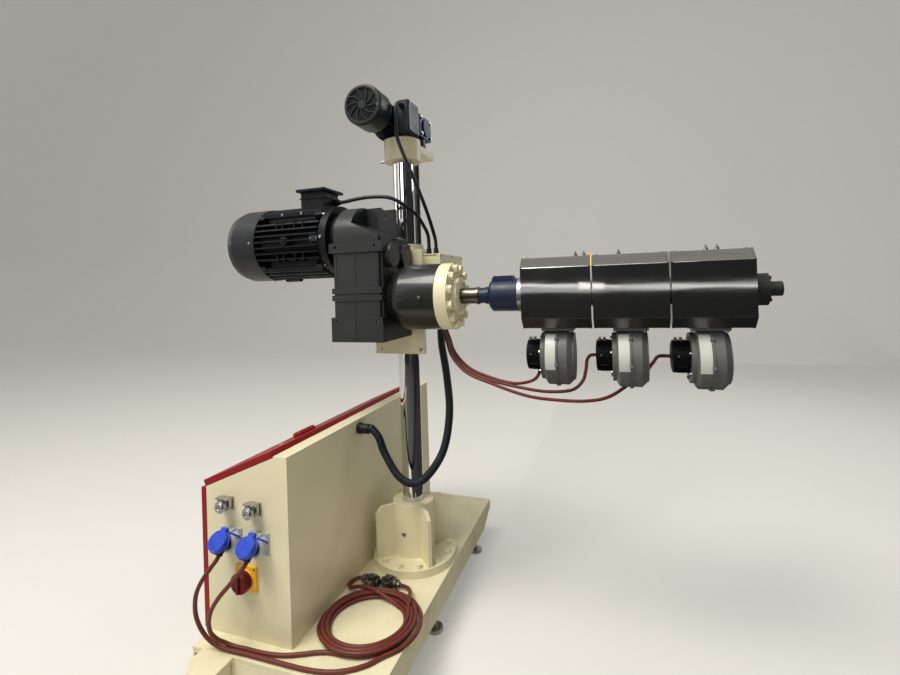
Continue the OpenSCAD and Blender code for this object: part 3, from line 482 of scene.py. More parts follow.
def stand(name, mesh, body, slot, finish=None, smooth=35):
    """Turns a finished mesh into a piece that rides on a body."""
    mesh.shade_smooth()
    mesh.set_sharp_from_angle(angle=math.radians(smooth))
    piece = bpy.data.objects.new(name, mesh)
    scene.collection.objects.link(piece)
    mesh.materials.clear()
    mesh.materials.append(finish or finishes[slot])
    weighted = piece.modifiers.new("even_normals", "WEIGHTED_NORMAL")
    weighted.keep_sharp = True
    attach(piece, body)
    return piece


def soften(node, width, segments=2, angle=32, finish=None):
    """A merged and bevelled copy of a construction node, which it replaces."""
    bm = bmesh.new()
    bm.from_mesh(frame["nodes"][node].data)
    bmesh.ops.remove_doubles(bm, verts=bm.verts, dist=0.00002)
    bmesh.ops.dissolve_limit(bm, angle_limit=math.radians(0.6), verts=bm.verts, edges=bm.edges)
    sharp = [e for e in bm.edges if len(e.link_faces) == 2 and e.calc_face_angle(0) > math.radians(angle)]
    if width:
        bmesh.ops.bevel(bm, geom=sharp, offset=width / 1000, offset_type="OFFSET", affect="EDGES",
                        segments=segments, profile=0.5, material=-1, clamp_overlap=True)
    mesh = bpy.data.meshes.new(node + "_dressed")
    bm.to_mesh(mesh)
    bm.free()
    piece = stand(node + "_dressed", mesh, body_of[node], slot_of[node], finish)
    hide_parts(node)
    return piece


# %% Soften the nodes
widths = {
    "deck_plate": 1.5, "side_beams": 3, "cross_beams": 2, "front_arms": 4, "levelling_feet": 0.8,
    "cabinet_shell": 1.2, "cabinet_door": 1.5, "door_pivots": 0.5, "door_locks": 0.6,
    "cabinet_lid": 1.5, "panel_connectors": 1, "socket_bodies": 1, "socket_lids": 1.2,
    "socket_plugs": 1, "switch_plate": 1, "switch_knob": 1.5, "conduit_gland": 1,
    "column_foot": 1.5, "column": 1, "column_cap": 2, "lift_gearbox": 2, "lift_motor": 0.7,
    "lift_fan_cover": 0.6, "lift_terminal_box": 7, "carriage": 2, "junction_box": 1.5,
    "cable_glands": 1, "gearbox": 2.5, "thrust_housing": 2, "output_flange": 1,
    "feed_section": 1.2, "barrel": 0.5, "outlet_nozzle": 0.8, "heater_cover_1": 0.8,
    "heater_cover_2": 0.8, "heater_cover_3": 0.8, "blower_scrolls": 1.5, "blower_motors": 2.5,
    "drive_motor": 0.9, "drive_fan_cover": 1, "drive_terminal_box": 2, "lead_connectors": 1.5}
own_finish = {
    "drive_motor": motor_black, "drive_terminal_box": motor_black, "drive_fan_cover": cowl_black,
    "lift_motor": motor_black, "lift_fan_cover": cowl_black, "lift_terminal_box": box_blue_grey,
    "lead_connectors": dark_steel, "thrust_housing": gloss_black, "lift_gearbox": worm_navy}
dressed = {node: soften(node, width, 3 if width > 2 else 2, finish=own_finish.get(node))
           for node, width in widths.items()}
print("softened", len(dressed), "nodes,", sum(len(p.data.polygons) for p in dressed.values()), "faces")

# %% [markdown]
# ## Small parts
# Screws, seams, labels and pins are what an eye looks for on a machine. They are far too many
# for the drawing, and each is only a few millimetres, so they are made here from turned and
# cut shapes. The helpers draw in the drawing's millimetres and turn the mesh into metres last.

# %% Shape helpers
AXES = {"X": Matrix.Rotation(math.pi / 2, 4, "Y"), "-X": Matrix.Rotation(-math.pi / 2, 4, "Y"),
        "Y": Matrix.Rotation(-math.pi / 2, 4, "X"), "-Y": Matrix.Rotation(math.pi / 2, 4, "X"),
        "Z": Matrix.Identity(4), "-Z": Matrix.Rotation(math.pi, 4, "X")}


def pose(at, axis="Z", turn=0):
    """A place whose own Z points along the named axis, turned about it in degrees."""
    return Matrix.Translation(at) @ AXES[axis] @ Matrix.Rotation(math.radians(turn), 4, "Z")


def around(angles):
    """Each angle in degrees with its cosine and sine."""
    return [(a, math.cos(math.radians(a)), math.sin(math.radians(a))) for a in angles]


def rounded_off(bm, edges, width, segments=2):
    bmesh.ops.bevel(bm, geom=edges, offset=width, offset_type="OFFSET", affect="EDGES", segments=segments,
                    profile=0.5, material=-1, clamp_overlap=True)


def rod(bm, radius, length, where, sides=24, edge=0.5, tip=None):
    """A round or many-sided bar that starts at the place and has softened ends."""
    made = bmesh.ops.create_cone(bm, cap_ends=True, segments=sides, radius1=radius, depth=length,
                                 radius2=radius if tip is None else tip,
                                 matrix=where @ Matrix.Translation((0, 0, length / 2)))
    caps = {f for v in made["verts"] for f in v.link_faces if len(f.verts) == sides}
    rounded_off(bm, list({e for f in caps for e in f.edges}), edge)


def slab(bm, size, where, edge=1.0, segments=2):
    """A flat or square block centred on the place, with softened edges."""
    made = bmesh.ops.create_cube(bm, size=1, matrix=where @ Matrix.Diagonal((*size, 1)))
    rounded_off(bm, list({e for v in made["verts"] for e in v.link_edges}), edge, segments)


def spun(bm, outline, where, steps=40, angle=360):
    """A turned shape: an outline of radius and height, spun about the place's own Z."""
    chain = [bmesh.ops.create_vert(bm, co=where @ Vector((outline[0][0], 0, outline[0][1])))["vert"][0]]
    lines = []
    for radius, height in outline[1:]:
        grown = bmesh.ops.extrude_vert_indiv(bm, verts=[chain[-1]])
        grown["verts"][0].co = where @ Vector((radius, 0, height))
        chain += grown["verts"]
        lines += grown["edges"]
    bmesh.ops.spin(bm, geom=chain + lines, cent=where.translation, axis=where.to_3x3() @ Vector((0, 0, 1)),
                   angle=math.radians(angle), steps=steps, use_merge=angle == 360)


def bolt(bm, where, across, height, washer=True):
    """A hexagon head on its washer."""
    if washer:
        rod(bm, across * 0.68, across * 0.14, where, 20, 0.3)
    rod(bm, across * 0.577, height, where, 6, across * 0.05)


def screw(bm, where, radius, height):
    """A round head with a socket sunk into it."""
    spun(bm, [(0, height * 0.35), (radius * 0.5, height * 0.35), (radius * 0.5, height),
              (radius * 0.86, height), (radius, height * 0.8), (radius, 0), (0, 0)], where, 16)


def piece(name, bm, body, slot, finish=None, smooth=35):
    """Closes a mesh drawn in millimetres and makes it a piece in metres."""
    bmesh.ops.remove_doubles(bm, verts=bm.verts, dist=0.004)
    bmesh.ops.recalc_face_normals(bm, faces=bm.faces)
    bmesh.ops.transform(bm, matrix=TO_FRAME, verts=bm.verts)
    mesh = bpy.data.meshes.new(name)
    bm.to_mesh(mesh)
    bm.free()
    made = stand(name, mesh, body, slot, finish, smooth)
    print(name, "faces", len(mesh.polygons))
    return made


# %% [markdown]
# ## Lift screw and lift drive
# The lift screw behind the column has a coarse thread. A bump could fake it, but its outline
# shows against the light, so a small four-sided ridge is spun and raised a little at each step,
# which winds it round the core. Above it the worm gearbox, its motor's guard and the terminal
# box lid get their fasteners.

# %% Lift screw
bm = bmesh.new()
rod(bm, 10.9, 594, pose((0, 115, 986)), 24, 1.0)
SCREW_Y = 115
pitch, rounds, per_round = 6.0, 97, 16
ridge = [(10.6, 0.4), (12.0, 1.6), (12.0, 3.0), (10.6, 4.2)]
first = bmesh.ops.create_vert(bm, co=(ridge[0][0], SCREW_Y, 989 + ridge[0][1]))["vert"][0]
chain, lines = [first], []
for radius, height in ridge[1:]:
    grown = bmesh.ops.extrude_vert_indiv(bm, verts=[chain[-1]])
    grown["verts"][0].co = (radius, SCREW_Y, 989 + height)
    chain += grown["verts"]
    lines += grown["edges"]
bmesh.ops.spin(bm, geom=chain + lines, cent=(0, SCREW_Y, 0), axis=(0, 0, 1), angle=2 * math.pi * rounds,
               steps=rounds * per_round, dvec=(0, 0, pitch / per_round))
threaded = piece("lift_screw_threaded", bm, "base", "plain_steel", dark_steel)
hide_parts("lift_screw")

# %% Lift drive fasteners
bm = bmesh.new()
for y, z in ((73, 1606), (155, 1606), (73, 1662), (155, 1662)):
    bolt(bm, pose((42, y, z), "X"), 10.5, 6.6)
screw(bm, pose((10.5, -199.3, 1618), "-Y"), 3.2, 2.6)
for a, c, s in around((20, 110, 200, 290)):
    rod(bm, 2.6, 3.2, Matrix.Translation((-42 + 63.2 * c, -128, 1626 + 63.2 * s))
        @ Matrix.Rotation(math.radians(90 - a), 4, "Y"), 12, 0.4)
for y in (-68, -2):
    for z in (1580, 1662):
        screw(bm, pose((60.8, y, z), "X"), 3.4, 2.4)
rod(bm, 4.6, 9, pose((-81, 0, 1498), "X"), 6, 0.5)
piece("lift_drive_fasteners", bm, "base", "plain_steel")

bm = bmesh.new()
slab(bm, (3.4, 82, 98), pose((59.4, -35, 1621)), 1.6, 3)
slab(bm, (1.2, 78, 94), pose((57.6, -35, 1621)), 0.4)
piece("lift_terminal_lid", bm, "base", "grey_casting", box_blue_grey)

# %% Guard behind the lift motor's spokes
bm = bmesh.new()
outline = [(0, 0), (8, 0)]
for r in range(14, 54, 6):
    outline += [(r, 0), (r + 0.4, 1.2), (r + 1.8, 1.2), (r + 2.2, 0)]
spun(bm, outline + [(54, 0), (54, -1.2), (0, -1.2)], pose((-42, -195.8, 1626), "-Y"), 48)
piece("lift_fan_guard", bm, "base", "dark_paint", motor_black)

# %% [markdown]
# ## Drive head fasteners
# The gearbox has sunk screws in its raised bands, a thin seam down its near side, a grease
# nipple on the bearing housing, and screws round every lid. All of them ride on the head.

# %% Gearbox seams and the bearing housing's nipple
BARREL_Y, BARREL_Z = -170, 1032
bm = bmesh.new()
slab(bm, (2.2, 1.6, 104), pose((-42, -268.2, 1117)), 0.5)
slab(bm, (2.2, 1.6, 47), pose((-42, -268.2, 1003.5)), 0.5)
slab(bm, (2.2, 1.6, 68), pose((-42, -273.2, 942)), 0.5)
slab(bm, (152, 1.4, 1.8), pose((-38, -268.3, 1165.5)), 0.5)
for x in (-106, 30):
    slab(bm, (5, 1.6, 96), pose((x, -268.2, 1117)), 0.6)
piece("gearbox_seams", bm, "drive_head", "dark_paint")

bm = bmesh.new()
for x, z in ((-104, 1185), (25, 1185), (-104, 968), (26, 968)):
    screw(bm, pose((x, -262.4, z), "-Y"), 3.7, 6.2)
nipple = [(0, 9), (2.2, 9), (3, 7.4), (2, 6), (2, 5), (4.6, 5), (4.6, 0), (0, 0)]
spun(bm, nipple, pose((156, -266.4, 1033), "-Y"), 12)
for a, c, s in around((35, 145, 215, 325)):
    screw(bm, pose((50.0, BARREL_Y + 62 * c, BARREL_Z + 62 * s), "X"), 4.2, 3.4)
piece("gearbox_screws", bm, "drive_head", "plain_steel")

# %% Neck, feed section and output flange
bm = bmesh.new()
spun(bm, [(22.1, 0), (23.2, 0.8), (23.2, 46), (25.4, 46.8), (25.4, 53), (23.6, 54), (22.1, 54)],
     pose((250.4, BARREL_Y, BARREL_Z), "X"), 40)
piece("neck_sleeve", bm, "drive_head", "plain_steel", neck_steel)

bm = bmesh.new()
spun(bm, [(22.05, 0), (24.4, 0.6), (24.4, 11), (22.05, 11.6)], pose((322, BARREL_Y, BARREL_Z), "X"), 40)
for x in (354, 399):
    for y in (-191, -149):
        bolt(bm, pose((x, y, 1082)), 6, 4.5)
for a, c, s in around(range(30, 390, 60)):
    screw(bm, pose((338.6, BARREL_Y + 30 * c, BARREL_Z + 30 * s), "-X"), 3.2, 3.4)
feed_collar = [(18.4, 0), (18.4, 3.4), (19.2, 4.2), (23.6, 4.2), (24.4, 3.4), (24.4, 0)]
spun(bm, feed_collar, pose((375, BARREL_Y, 1081.8)), 40)
piece("feed_fasteners", bm, "drive_head", "navy_paint")

bm = bmesh.new()
spun(bm, [(38, 0), (38, 2.4), (40, 3), (42, 2.4), (42, 0)], pose((249.6, BARREL_Y, BARREL_Z), "X"), 48)
for a, c, s in around(range(0, 360, 60)):
    screw(bm, pose((249.6, BARREL_Y + 48.5 * c, BARREL_Z + 48.5 * s), "X"), 3.4, 2.6)
piece("flange_seal_ring", bm, "drive_head", "cream_paint")

# %% Junction box screws and plate
bm = bmesh.new()
for y in (-26, 83, 192):
    for z in (1099, 1163):
        screw(bm, pose((136.7, y, z), "X"), 3.6, 2.6)
for x in (-66, 74):
    rod(bm, 4.2, 8, pose((x, -66.6, 860), "-Y"), 16, 0.5)
piece("junction_box_screws", bm, "drive_head", "plain_steel")
bm = bmesh.new()
slab(bm, (1.6, 236, 2.2), pose((124.4, 81, 1093.2)), 0.5)
slab(bm, (60, 2, 62), pose((96, -30.6, 1131)), 0.8)
piece("junction_box_seam", bm, "drive_head", "cream_paint")

# %% [markdown]
# ## Heater covers
# The polished covers are folded sheet. Each end has a narrow raised hem where the end plate is
# joined, and that hem is what draws the thin bright lines between the covers. An octagon is
# bent to the cover's outline, pushed along the barrel and given a wall. The heater terminals
# stand on top.

# %% Hems of the covers
COVER_STARTS, COVER_LONG, COVER_Z, COVER_TOP = (437, 618, 799), 177, 1036, 1129


def hem(bm, x, width=5.0, proud=0.7):
    """A thin band round the cover's eight-sided outline."""
    w, h, s = 82 + proud, 93 + proud, 27
    corners = [(side * (w - dy), up * (h - dz)) for side in (-1, 1) for up in (-1, 1)
               for dy, dz in ((0, s), (s, 0))]
    ring = bmesh.ops.create_circle(bm, cap_ends=False, segments=8, radius=80,
                                   matrix=pose((x, BARREL_Y, COVER_Z), "X"))["verts"]
    ring.sort(key=lambda v: math.atan2(v.co.z - COVER_Z, v.co.y - BARREL_Y))
    corners.sort(key=lambda c: math.atan2(c[1], c[0]))
    for vert, (y, z) in zip(ring, corners):
        vert.co = (x, BARREL_Y + y, COVER_Z + z)
    edges = list({e for v in ring for e in v.link_edges})
    grown = bmesh.ops.extrude_edge_only(bm, edges=edges)["geom"]
    moved = [g for g in grown if isinstance(g, bmesh.types.BMVert)]
    bmesh.ops.translate(bm, vec=(width, 0, 0), verts=moved)
    faces = [g for g in grown if isinstance(g, bmesh.types.BMFace)]
    bmesh.ops.recalc_face_normals(bm, faces=faces)
    bmesh.ops.solidify(bm, geom=faces, thickness=proud + 0.3)


bm = bmesh.new()
for start in COVER_STARTS:
    hem(bm, start + 0.2)
    hem(bm, start + COVER_LONG - 5.2)
piece("cover_hems", bm, "drive_head", "polished_stainless", smooth=20)

# %% Terminals and the earth strap
bm = bmesh.new()
for x in (576, 597, 682, 881, 905):
    at = pose((x, -204, COVER_TOP))
    bolt(bm, at, 10, 6.5)
    rod(bm, 2.4, 13, at, 12, 0.4)
for start in COVER_STARTS:
    for x in (start + 12, start + COVER_LONG - 12):
        for side in (-1, 1):
            screw(bm, pose((x, BARREL_Y + side * 44, COVER_TOP - 0.2)), 3.4, 2.6)
piece("cover_terminals", bm, "drive_head", "plain_steel")
bm = bmesh.new()
on_fold = Matrix.Translation((616, -240.2, 1117.2)) @ Matrix.Rotation(math.radians(-45), 4, "X")
slab(bm, (3.0, 1.4, 44), on_fold, 0.5)
piece("earth_strap", bm, "drive_head", "switch_yellow")

# %% [markdown]
# ## Blowers
# Each blower is two pressed halves round a seam, with a plain white label on the left half. A
# label follows the curve of the housing, so two points are spun about the shaft to a strip and
# given a thin wall.

# %% Labels, ring bolts and motor tabs
BLOWER_X, BLOWER_Z = (489, 670, 851), 864
label_radius, label_from, label_angle = 77.15, math.radians(54), math.radians(75)
top_y = BARREL_Y - label_radius * math.cos(label_from)
top_z = BLOWER_Z + label_radius * math.sin(label_from)
bm = bmesh.new()
for x in BLOWER_X:
    ends = [bmesh.ops.create_vert(bm, co=(x + d, top_y, top_z))["vert"][0] for d in (5, 31)]
    line = bm.edges.new(ends)
    bmesh.ops.spin(bm, geom=[*ends, line], cent=(x, BARREL_Y, BLOWER_Z), axis=(1, 0, 0),
                   angle=label_angle, steps=14)
faces = list(bm.faces)
bmesh.ops.recalc_face_normals(bm, faces=faces)
bmesh.ops.solidify(bm, geom=faces, thickness=0.35)
piece("blower_labels", bm, "drive_head", "socket_grey", label_film, 60)

bm = bmesh.new()
for x in BLOWER_X:
    for a, c, s in around(range(18, 378, 60)):
        bolt(bm, pose((x - 10, BARREL_Y - 52.5 * c, BLOWER_Z + 52.5 * s), "-X"), 6.5, 4.5)
    rod(bm, 2.8, 4, pose((x - 37, -210.6, 872), "-Y"), 12, 0.4)
    for d in (-41, -29):
        slab(bm, (7, 9, 10), pose((x + d, -178, 911)), 0.8)
    for y in (-206, -96):
        for d in (0, 70):
            bolt(bm, pose((x + d, y, 935), "-Z"), 7, 4.6)
piece("blower_fasteners", bm, "drive_head", "plain_steel")

# %% Blower seams and webs
bm = bmesh.new()
for x in BLOWER_X:
    for a, c, s in around(range(-60, 240, 50)):
        slab(bm, (9, 7, 9), Matrix.Translation((x + 34, BARREL_Y - 80 * c, BLOWER_Z + 80 * s))
             @ Matrix.Rotation(math.radians(a), 4, "X"), 1.2)
    web = Matrix.Translation((x + 3, -206, 925)) @ Matrix.Rotation(math.radians(40), 4, "X")
    slab(bm, (2.6, 30, 26), web, 0.6)
piece("blower_seam_clips", bm, "drive_head", "grey_casting")

FAN_Z = BLOWER_Z + 3
bm = bmesh.new()
for x in BLOWER_X:
    end_ring = [(12, 0), (12, 1.6), (24, 2.2), (34, 1.6), (36, 0)]
    spun(bm, end_ring, pose((x - 48.8, BARREL_Y, FAN_Z), "-X"), 40)
    for a, c, s in around(range(0, 360, 30)):
        slab(bm, (22, 2, 4), Matrix.Translation((x - 29, BARREL_Y - 41 * c, FAN_Z + 41 * s))
             @ Matrix.Rotation(math.radians(a), 4, "X"), 0.6)
piece("blower_motor_ribs", bm, "drive_head", "fan_black")

# %% [markdown]
# ## Main motor
# Between the motor's long fins stand short cross ribs, a round boss and two smooth strips for
# lifting bolts. They are cast with the body and share its black enamel. The rating plate is a
# plain painted sheet.

# %% Main motor castings
MOTOR_Z = 1215
bm = bmesh.new()
for x in (-311, -288, -246, -216):
    for z in (1261, 1169):
        slab(bm, (4.6, 22, 30), pose((x, -262.5, z)), 1.2)
rod(bm, 14, 22, pose((-277, -265, MOTOR_Z), "-Y"), 32, 2.0)
rod(bm, 6, 3, pose((-277, -287, MOTOR_Z), "-Y"), 20, 0.8)
for z in (1300, 1130):
    slab(bm, (222, 12, 16), pose((-276, -243.5, z)), 2.4, 3)
for a, c, s in around((45, 135, 225, 315)):
    for x, long in ((-172, 26), (-380, 20)):
        slab(bm, (long, 26, 20), Matrix.Translation((x, BARREL_Y + 104 * c, MOTOR_Z + 104 * s))
             @ Matrix.Rotation(math.radians(a), 4, "X"), 3.0, 3)
slab(bm, (92, 92, 3), pose((-220.5, -170, 1353)), 1.0)
piece("motor_castings", bm, "drive_head", "dark_paint", motor_black)

# %% Main motor fasteners and blank plate
bm = bmesh.new()
slab(bm, (27, 1.4, 17), pose((-170, -285.6, 1218)), 0.4)
piece("motor_blank_plate", bm, "drive_head", "dark_paint", box_blue_grey)
bm = bmesh.new()
for x in (-180.5, -159.5):
    screw(bm, pose((x, -286.2, 1218), "-Y"), 1.8, 1.2)
for a, c, s in around((45, 135, 225, 315)):
    bolt(bm, pose((-159.6, BARREL_Y + 108 * c, MOTOR_Z + 108 * s), "X"), 9, 6)
for a, c, s in around((0, 90, 180, 270)):
    rod(bm, 4.2, 3, Matrix.Translation((-404, BARREL_Y - 116.4 * c, MOTOR_Z + 116.4 * s))
        @ Matrix.Rotation(math.radians(90 - a), 4, "X"), 16, 0.6)
bolt(bm, pose((-150, -278.6, 1221), "-Y"), 8, 5)
for x in (-264, -175):
    for y in (-218, -122):
        screw(bm, pose((x, y, 1380.6)), 4.2, 3.2)
for x in (-306, -236):
    screw(bm, pose((x, -249.3, 1301), "-Y"), 4.0, 1.6)
piece("motor_fasteners", bm, "drive_head", "plain_steel")

# %% [markdown]
# ## Base and cabinet fittings
# On the cabinet's lid sit two round locks and a red moulded stop, and its near end carries the
# plugs and the main switch. The lid is sloped, so `on_lid` gives a place on it from the
# distance up the slope. The slots of the door's locks are a piece of their own, because they
# swing with the door.

# %% Lid locks, stop and door slots
slope = math.atan2(96, 224)


def on_lid(up, y, out):
    """A place on the lid: up the slope from its low edge, with its own Z out of the lid."""
    x = -398 + up * math.cos(slope) - out * math.sin(slope)
    z = 538 + up * math.sin(slope) + out * math.cos(slope)
    return Matrix.Translation((x, y, z)) @ Matrix.Rotation(-slope, 4, "Y")


bm = bmesh.new()
for y in (-323, 320):
    at = on_lid(147, y, 18.1)
    spun(bm, [(0, 1.2), (7, 1.2), (7.6, 2.6), (10.6, 2.6), (12, 1.4), (12, 0), (0, 0)], at, 32)
    slab(bm, (2.2, 10, 1.8), at @ Matrix.Translation((0, 0, 1.8)), 0.4)
screw(bm, pose((-7, -66.8, 254), "-Y"), 6.5, 4.4)
piece("lid_locks", bm, "base", "plain_steel")

bm = bmesh.new()
for z in (212, 473):
    slab(bm, (2.4, 3, 14), pose((-421.6, -451, z)), 0.6)
piece("door_lock_slots", bm, "door", "plain_steel")

bm = bmesh.new()
slab(bm, (34, 78, 18), on_lid(170, -246, 23), 8, 5)
slab(bm, (226, 1.6, 1.6), on_lid(122, -481, 17.4), 0.6)
piece("lid_stop", bm, "base", "red_paint")

# %% Fittings on the cabinet's near end
NEAR = -484
PANEL_PLUGS, SOCKETS, SWITCH = ((-322, 503), (-233, 497)), ((-309, 412), (-221, 410)), (-266, 313)
bm = bmesh.new()
for x, z in PANEL_PLUGS:
    for dx in (-14, 14):
        for dz in (-14, 14):
            screw(bm, pose((x + dx, NEAR - 3.8, z + dz), "-Y"), 2.6, 1.8)
    spun(bm, [(15.0, 0), (16.2, 0.6), (16.2, 2.2), (15.0, 2.8)], pose((x, NEAR - 30, z), "-Y"), 32)
    spun(bm, [(0, 1), (5, 1), (6, 3), (11, 3), (12.4, 1.8), (12.4, 0), (0, 0)],
         pose((x, NEAR - 33.6, z), "-Y"), 32)
    for a, c, s in around(range(0, 360, 20)):
        rod(bm, 1.2, 10, pose((x + 16.4 * c, NEAR - 9, z + 16.4 * s), "-Y"), 6, 0.3)
for x, z in SOCKETS:
    for dx in (-24, 24):
        for dz in (-24, 24):
            screw(bm, pose((x + dx, NEAR - 4.8, z + dz), "-Y"), 2.8, 1.8)
    rod(bm, 2.4, 26, pose((x - 13, NEAR - 26.3, z + 29), "X"), 14, 0.5)
for dx in (-28, 28):
    for dz in (-28, 28):
        screw(bm, pose((SWITCH[0] + dx, NEAR - 7.8, SWITCH[1] + dz), "-Y"), 2.6, 1.6)
piece("near_end_screws", bm, "base", "die_cast_zinc")

# %% Socket collars and lid rims
bm = bmesh.new()
for x, z in SOCKETS:
    spun(bm, [(27, 0), (28.6, 0.8), (28.6, 3.4), (27, 4.2)], pose((x, NEAR - 20, z), "-Y"), 48)
    spun(bm, [(20, 0), (20, 2.4), (24.6, 2.4), (27, 0.6), (27, 0)], pose((x, NEAR - 26, z), "-Y"), 48)
    for a, c, s in around((30, 150, 210, 330)):
        slab(bm, (5, 12, 5), Matrix.Translation((x + 27.4 * c, NEAR - 12, z + 27.4 * s))
             @ Matrix.Rotation(math.radians(-a), 4, "Y"), 1.0)
piece("socket_collars", bm, "base", "socket_grey")

bm = bmesh.new()
for x, z in SOCKETS:
    hinge = Matrix.Translation((x, NEAR - 26.3, z + 29)) @ AXES["-Y"]
    face = hinge @ Matrix.Rotation(math.radians(45), 4, "X") @ Matrix.Translation((0, -28, 0))
    spun(bm, [(26.4, 3.6), (28.0, 4.4), (28.9, 3.6), (28.9, 0.4), (28.0, -0.4), (26.4, 0.2)], face, 48)
    spun(bm, [(0, 15.6), (17, 15.6), (20, 14.6)], face, 40)
piece("socket_lid_rims", bm, "base", "socket_blue")

# %% Lead connector fittings
bm = bmesh.new()
for x, y, turn in ((-66, -190, 170), (-4, -182, -6)):
    at = Matrix.Translation((x, y, COIL.z)) @ Matrix.Rotation(math.radians(turn), 4, "Z")
    clamp, collar = (at @ Matrix.Translation((d, 0, 14.2)) @ AXES["X"] for d in (25.5, 17))
    rod(bm, 10.4, 7, clamp, 12, 1.0)
    spun(bm, [(14, 0), (15, 0.8), (15, 3.4), (14, 4.2)], collar, 32)
    for px in (-14, 0):
        rod(bm, 3.2, 3.2, at @ Matrix.Translation((px, 0, 30.6)), 14, 0.6)
    for side in (-1, 1):
        outward = AXES["Y" if side > 0 else "-Y"]
        rod(bm, 3.6, 4, at @ Matrix.Translation((-6, side * 15, 16)) @ outward, 16, 0.6)
        slab(bm, (30, 2.2, 5), at @ Matrix.Translation((-6, side * 15.8, 21)), 0.8)
piece("lead_connector_fittings", bm, "base", "die_cast_zinc")

# %% [markdown]
# ## Floor, lights and reflections
# The machine stands in a plain pale studio. Chrome and polished sheet only look like metal when
# they have something dark and something bright to mirror. Cards that only reflections can see
# give them that. The backdrop is made paler for the eye and for mirrors, and not with more
# light, so the lamps stay at a plain level.

# %% Stage helpers
def seen_rays(tree):
    """One for what the eye sees, itself or in a mirror or glass, and nothing for light on the machine."""
    rays = add(tree, "LightPath").outputs
    eye = add(tree, "Math", {0: rays["Is Camera Ray"], 1: rays["Is Glossy Ray"]}, operation="MAXIMUM")
    return add(tree, "Math", {0: eye.outputs[0], 1: rays["Is Transmission Ray"]},
               operation="MAXIMUM").outputs[0]


def plain(name, colour, rough=0.6, glow=0.0, backdrop=0.0):
    """A plain stage finish; a backdrop looks a little paler than it is lit."""
    material, tree, surface = shader(name)
    tone = mixed(tree, blotches(tree, 2.0), colour, tuple(c * 0.97 for c in colour))
    tree.links.new(tone, surface.inputs["Base Color"])
    surface.inputs["Roughness"].default_value = rough
    if glow or backdrop:
        surface.inputs["Emission Color"].default_value = (*colour, 1)
        surface.inputs["Emission Strength"].default_value = glow
    if backdrop:
        strength = add(tree, "Math", {0: seen_rays(tree), 1: backdrop}, operation="MULTIPLY")
        tree.links.new(strength.outputs[0], surface.inputs["Emission Strength"])
    return material


def staged(name, centre, size, tilt, material, roll=0.0):
    """A flat card, rolled in its own plane, tipped about X and then turned about Z."""
    bm = bmesh.new()
    bmesh.ops.create_grid(bm, x_segments=1, y_segments=1, size=0.5)
    bmesh.ops.scale(bm, vec=(*size, 1), verts=bm.verts)
    turned = Matrix.Rotation(tilt[1], 3, "Z") @ Matrix.Rotation(tilt[0], 3, "X")
    turned = turned @ Matrix.Rotation(roll, 3, "Z")
    bmesh.ops.rotate(bm, cent=(0, 0, 0), matrix=turned, verts=bm.verts)
    bmesh.ops.translate(bm, vec=centre, verts=bm.verts)
    mesh = bpy.data.meshes.new(name)
    bm.to_mesh(mesh)
    bm.free()
    mesh.materials.append(material)
    thing = bpy.data.objects.new(name, mesh)
    scene.collection.objects.link(thing)
    return thing


# %% Floor that curves up behind the machine
bm = bmesh.new()
bmesh.ops.create_grid(bm, x_segments=1, y_segments=1, size=0.5)
bmesh.ops.scale(bm, vec=(60, 16, 1), verts=bm.verts)
far = [e for e in bm.edges if all(v.co.y > 7 for v in e.verts)]
risen = bmesh.ops.extrude_edge_only(bm, edges=far)["geom"]
wall_top = [g for g in risen if isinstance(g, bmesh.types.BMVert)]
bmesh.ops.translate(bm, vec=(0, 0, 14), verts=wall_top)
rounded_off(bm, [e for e in bm.edges if len(e.link_faces) == 2], 2.5, 10)
bmesh.ops.recalc_face_normals(bm, faces=bm.faces)
mesh = bpy.data.meshes.new("floor")
bm.to_mesh(mesh)
bm.free()
mesh.shade_smooth()
mesh.materials.append(plain("pale_floor", (0.60, 0.585, 0.55), backdrop=0.36))
floor = bpy.data.objects.new("floor", mesh)
scene.collection.objects.link(floor)

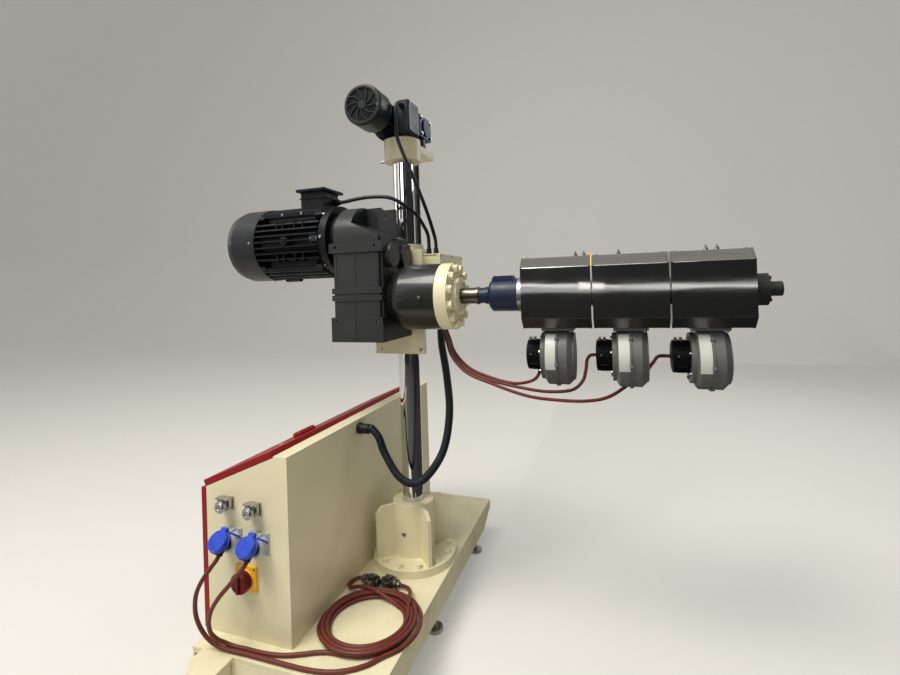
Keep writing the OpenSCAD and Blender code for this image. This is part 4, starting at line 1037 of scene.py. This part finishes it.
# %% Cards for the reflections
card_black = plain("card_black", (0.02, 0.02, 0.022), 0.9)
card_grey = plain("card_grey", (0.5, 0.5, 0.48), 0.9, 0.16)
card_white = plain("card_white", (1.0, 0.98, 0.94), 0.9, 1.0)
card_band = plain("card_band", (0.96, 0.98, 1.0), 0.9, 0.5)
card_dim = plain("card_dim", (0.06, 0.06, 0.06), 0.9)
upright = math.pi / 2
cards = [
    staged("card_high", (0.6, -4.6, 2.32), (7.0, 2.6), (upright, 0), card_black),
    staged("card_low", (0.6, -4.6, 0.48), (7.0, 0.94), (upright, 0), card_black),
    staged("card_slit", (0.55, -4.57, 1.005), (5.0, 0.036), (upright, 0), card_band, -0.037),
    staged("card_spark", (0.157, -4.56, 1.022), (0.26, 0.075), (upright, 0), card_white, -0.037),
    staged("card_step", (-0.30, -4.58, 1.72), (1.0, 0.9), (upright, 0), card_grey),
    staged("card_floor", (0.6, -2.9, 0.015), (6.0, 3.3), (0, 0), card_dim),
    staged("card_floor_right", (1.75, 2.0, 0.013), (3.7, 6.6), (0, 0), card_black),
    staged("card_above", (0.5, -0.2, 3.3), (1.8, 1.0), (0, 0), card_grey),
    staged("card_right", (3.6, 1.6, 2.6), (10.8, 5.2), (upright, upright), card_black),
    staged("strip_near", (-0.30, -4.55, 2.55), (0.34, 2.2), (upright, 0), card_white),
    staged("strip_left", (-3.0, -4.3, 1.9), (0.95, 3.6), (upright, -0.55), card_white),
    staged("strip_far_left", (-3.5, -0.35, 2.5), (1.5, 2.6), (upright, upright), card_white),
]
for card in cards:
    card.visible_camera = card.visible_diffuse = card.visible_shadow = card.visible_transmission = False

# %% World and lamps
world = bpy.data.worlds.new("studio")
scene.world = world
world.use_nodes = True
sky = world.node_tree.nodes["Background"]
sky.inputs["Color"].default_value = (0.97, 0.965, 0.95, 1)
world_light, paler = 0.20, 0.40
level = add(world.node_tree, "Math", {0: seen_rays(world.node_tree), 1: paler, 2: world_light},
            operation="MULTIPLY_ADD")
world.node_tree.links.new(level.outputs[0], sky.inputs["Strength"])


def lamp(name, place, target, size, power, colour=(1, 1, 1)):
    light = bpy.data.lights.new(name, "AREA")
    light.shape = "RECTANGLE"
    light.size, light.size_y = size
    light.energy = power
    light.color = colour
    holder = bpy.data.objects.new(name, light)
    scene.collection.objects.link(holder)
    holder.location = place
    holder.rotation_euler = (Vector(target) - Vector(place)).to_track_quat("-Z", "Y").to_euler()
    return holder


lamp("key_high_left", (-1.5, -2.6, 5.5), (-0.1, -0.1, 0.6), (2.4, 2.4), 300, (1.0, 0.97, 0.91))
lamp("overhead", (-0.3, -0.9, 5.6), (-0.3, -0.6, 0), (2.0, 2.0), 56, (1.0, 0.98, 0.94))
lamp("front_soft", (0.2, -4.1, 2.7), (-0.2, -0.2, 0.9), (2.0, 1.2), 25, (1.0, 0.98, 0.95))
lamp("fill_back", (1.8, 3.0, 2.8), (0, 0, 0.9), (1.8, 1.4), 24, (0.95, 0.98, 1.0))
scene.view_settings.view_transform = "Standard"

# %% [markdown]
# ## Closing
# At the end the view layer is brought up to date.

# %% Update the view layer
bpy.context.view_layer.update()
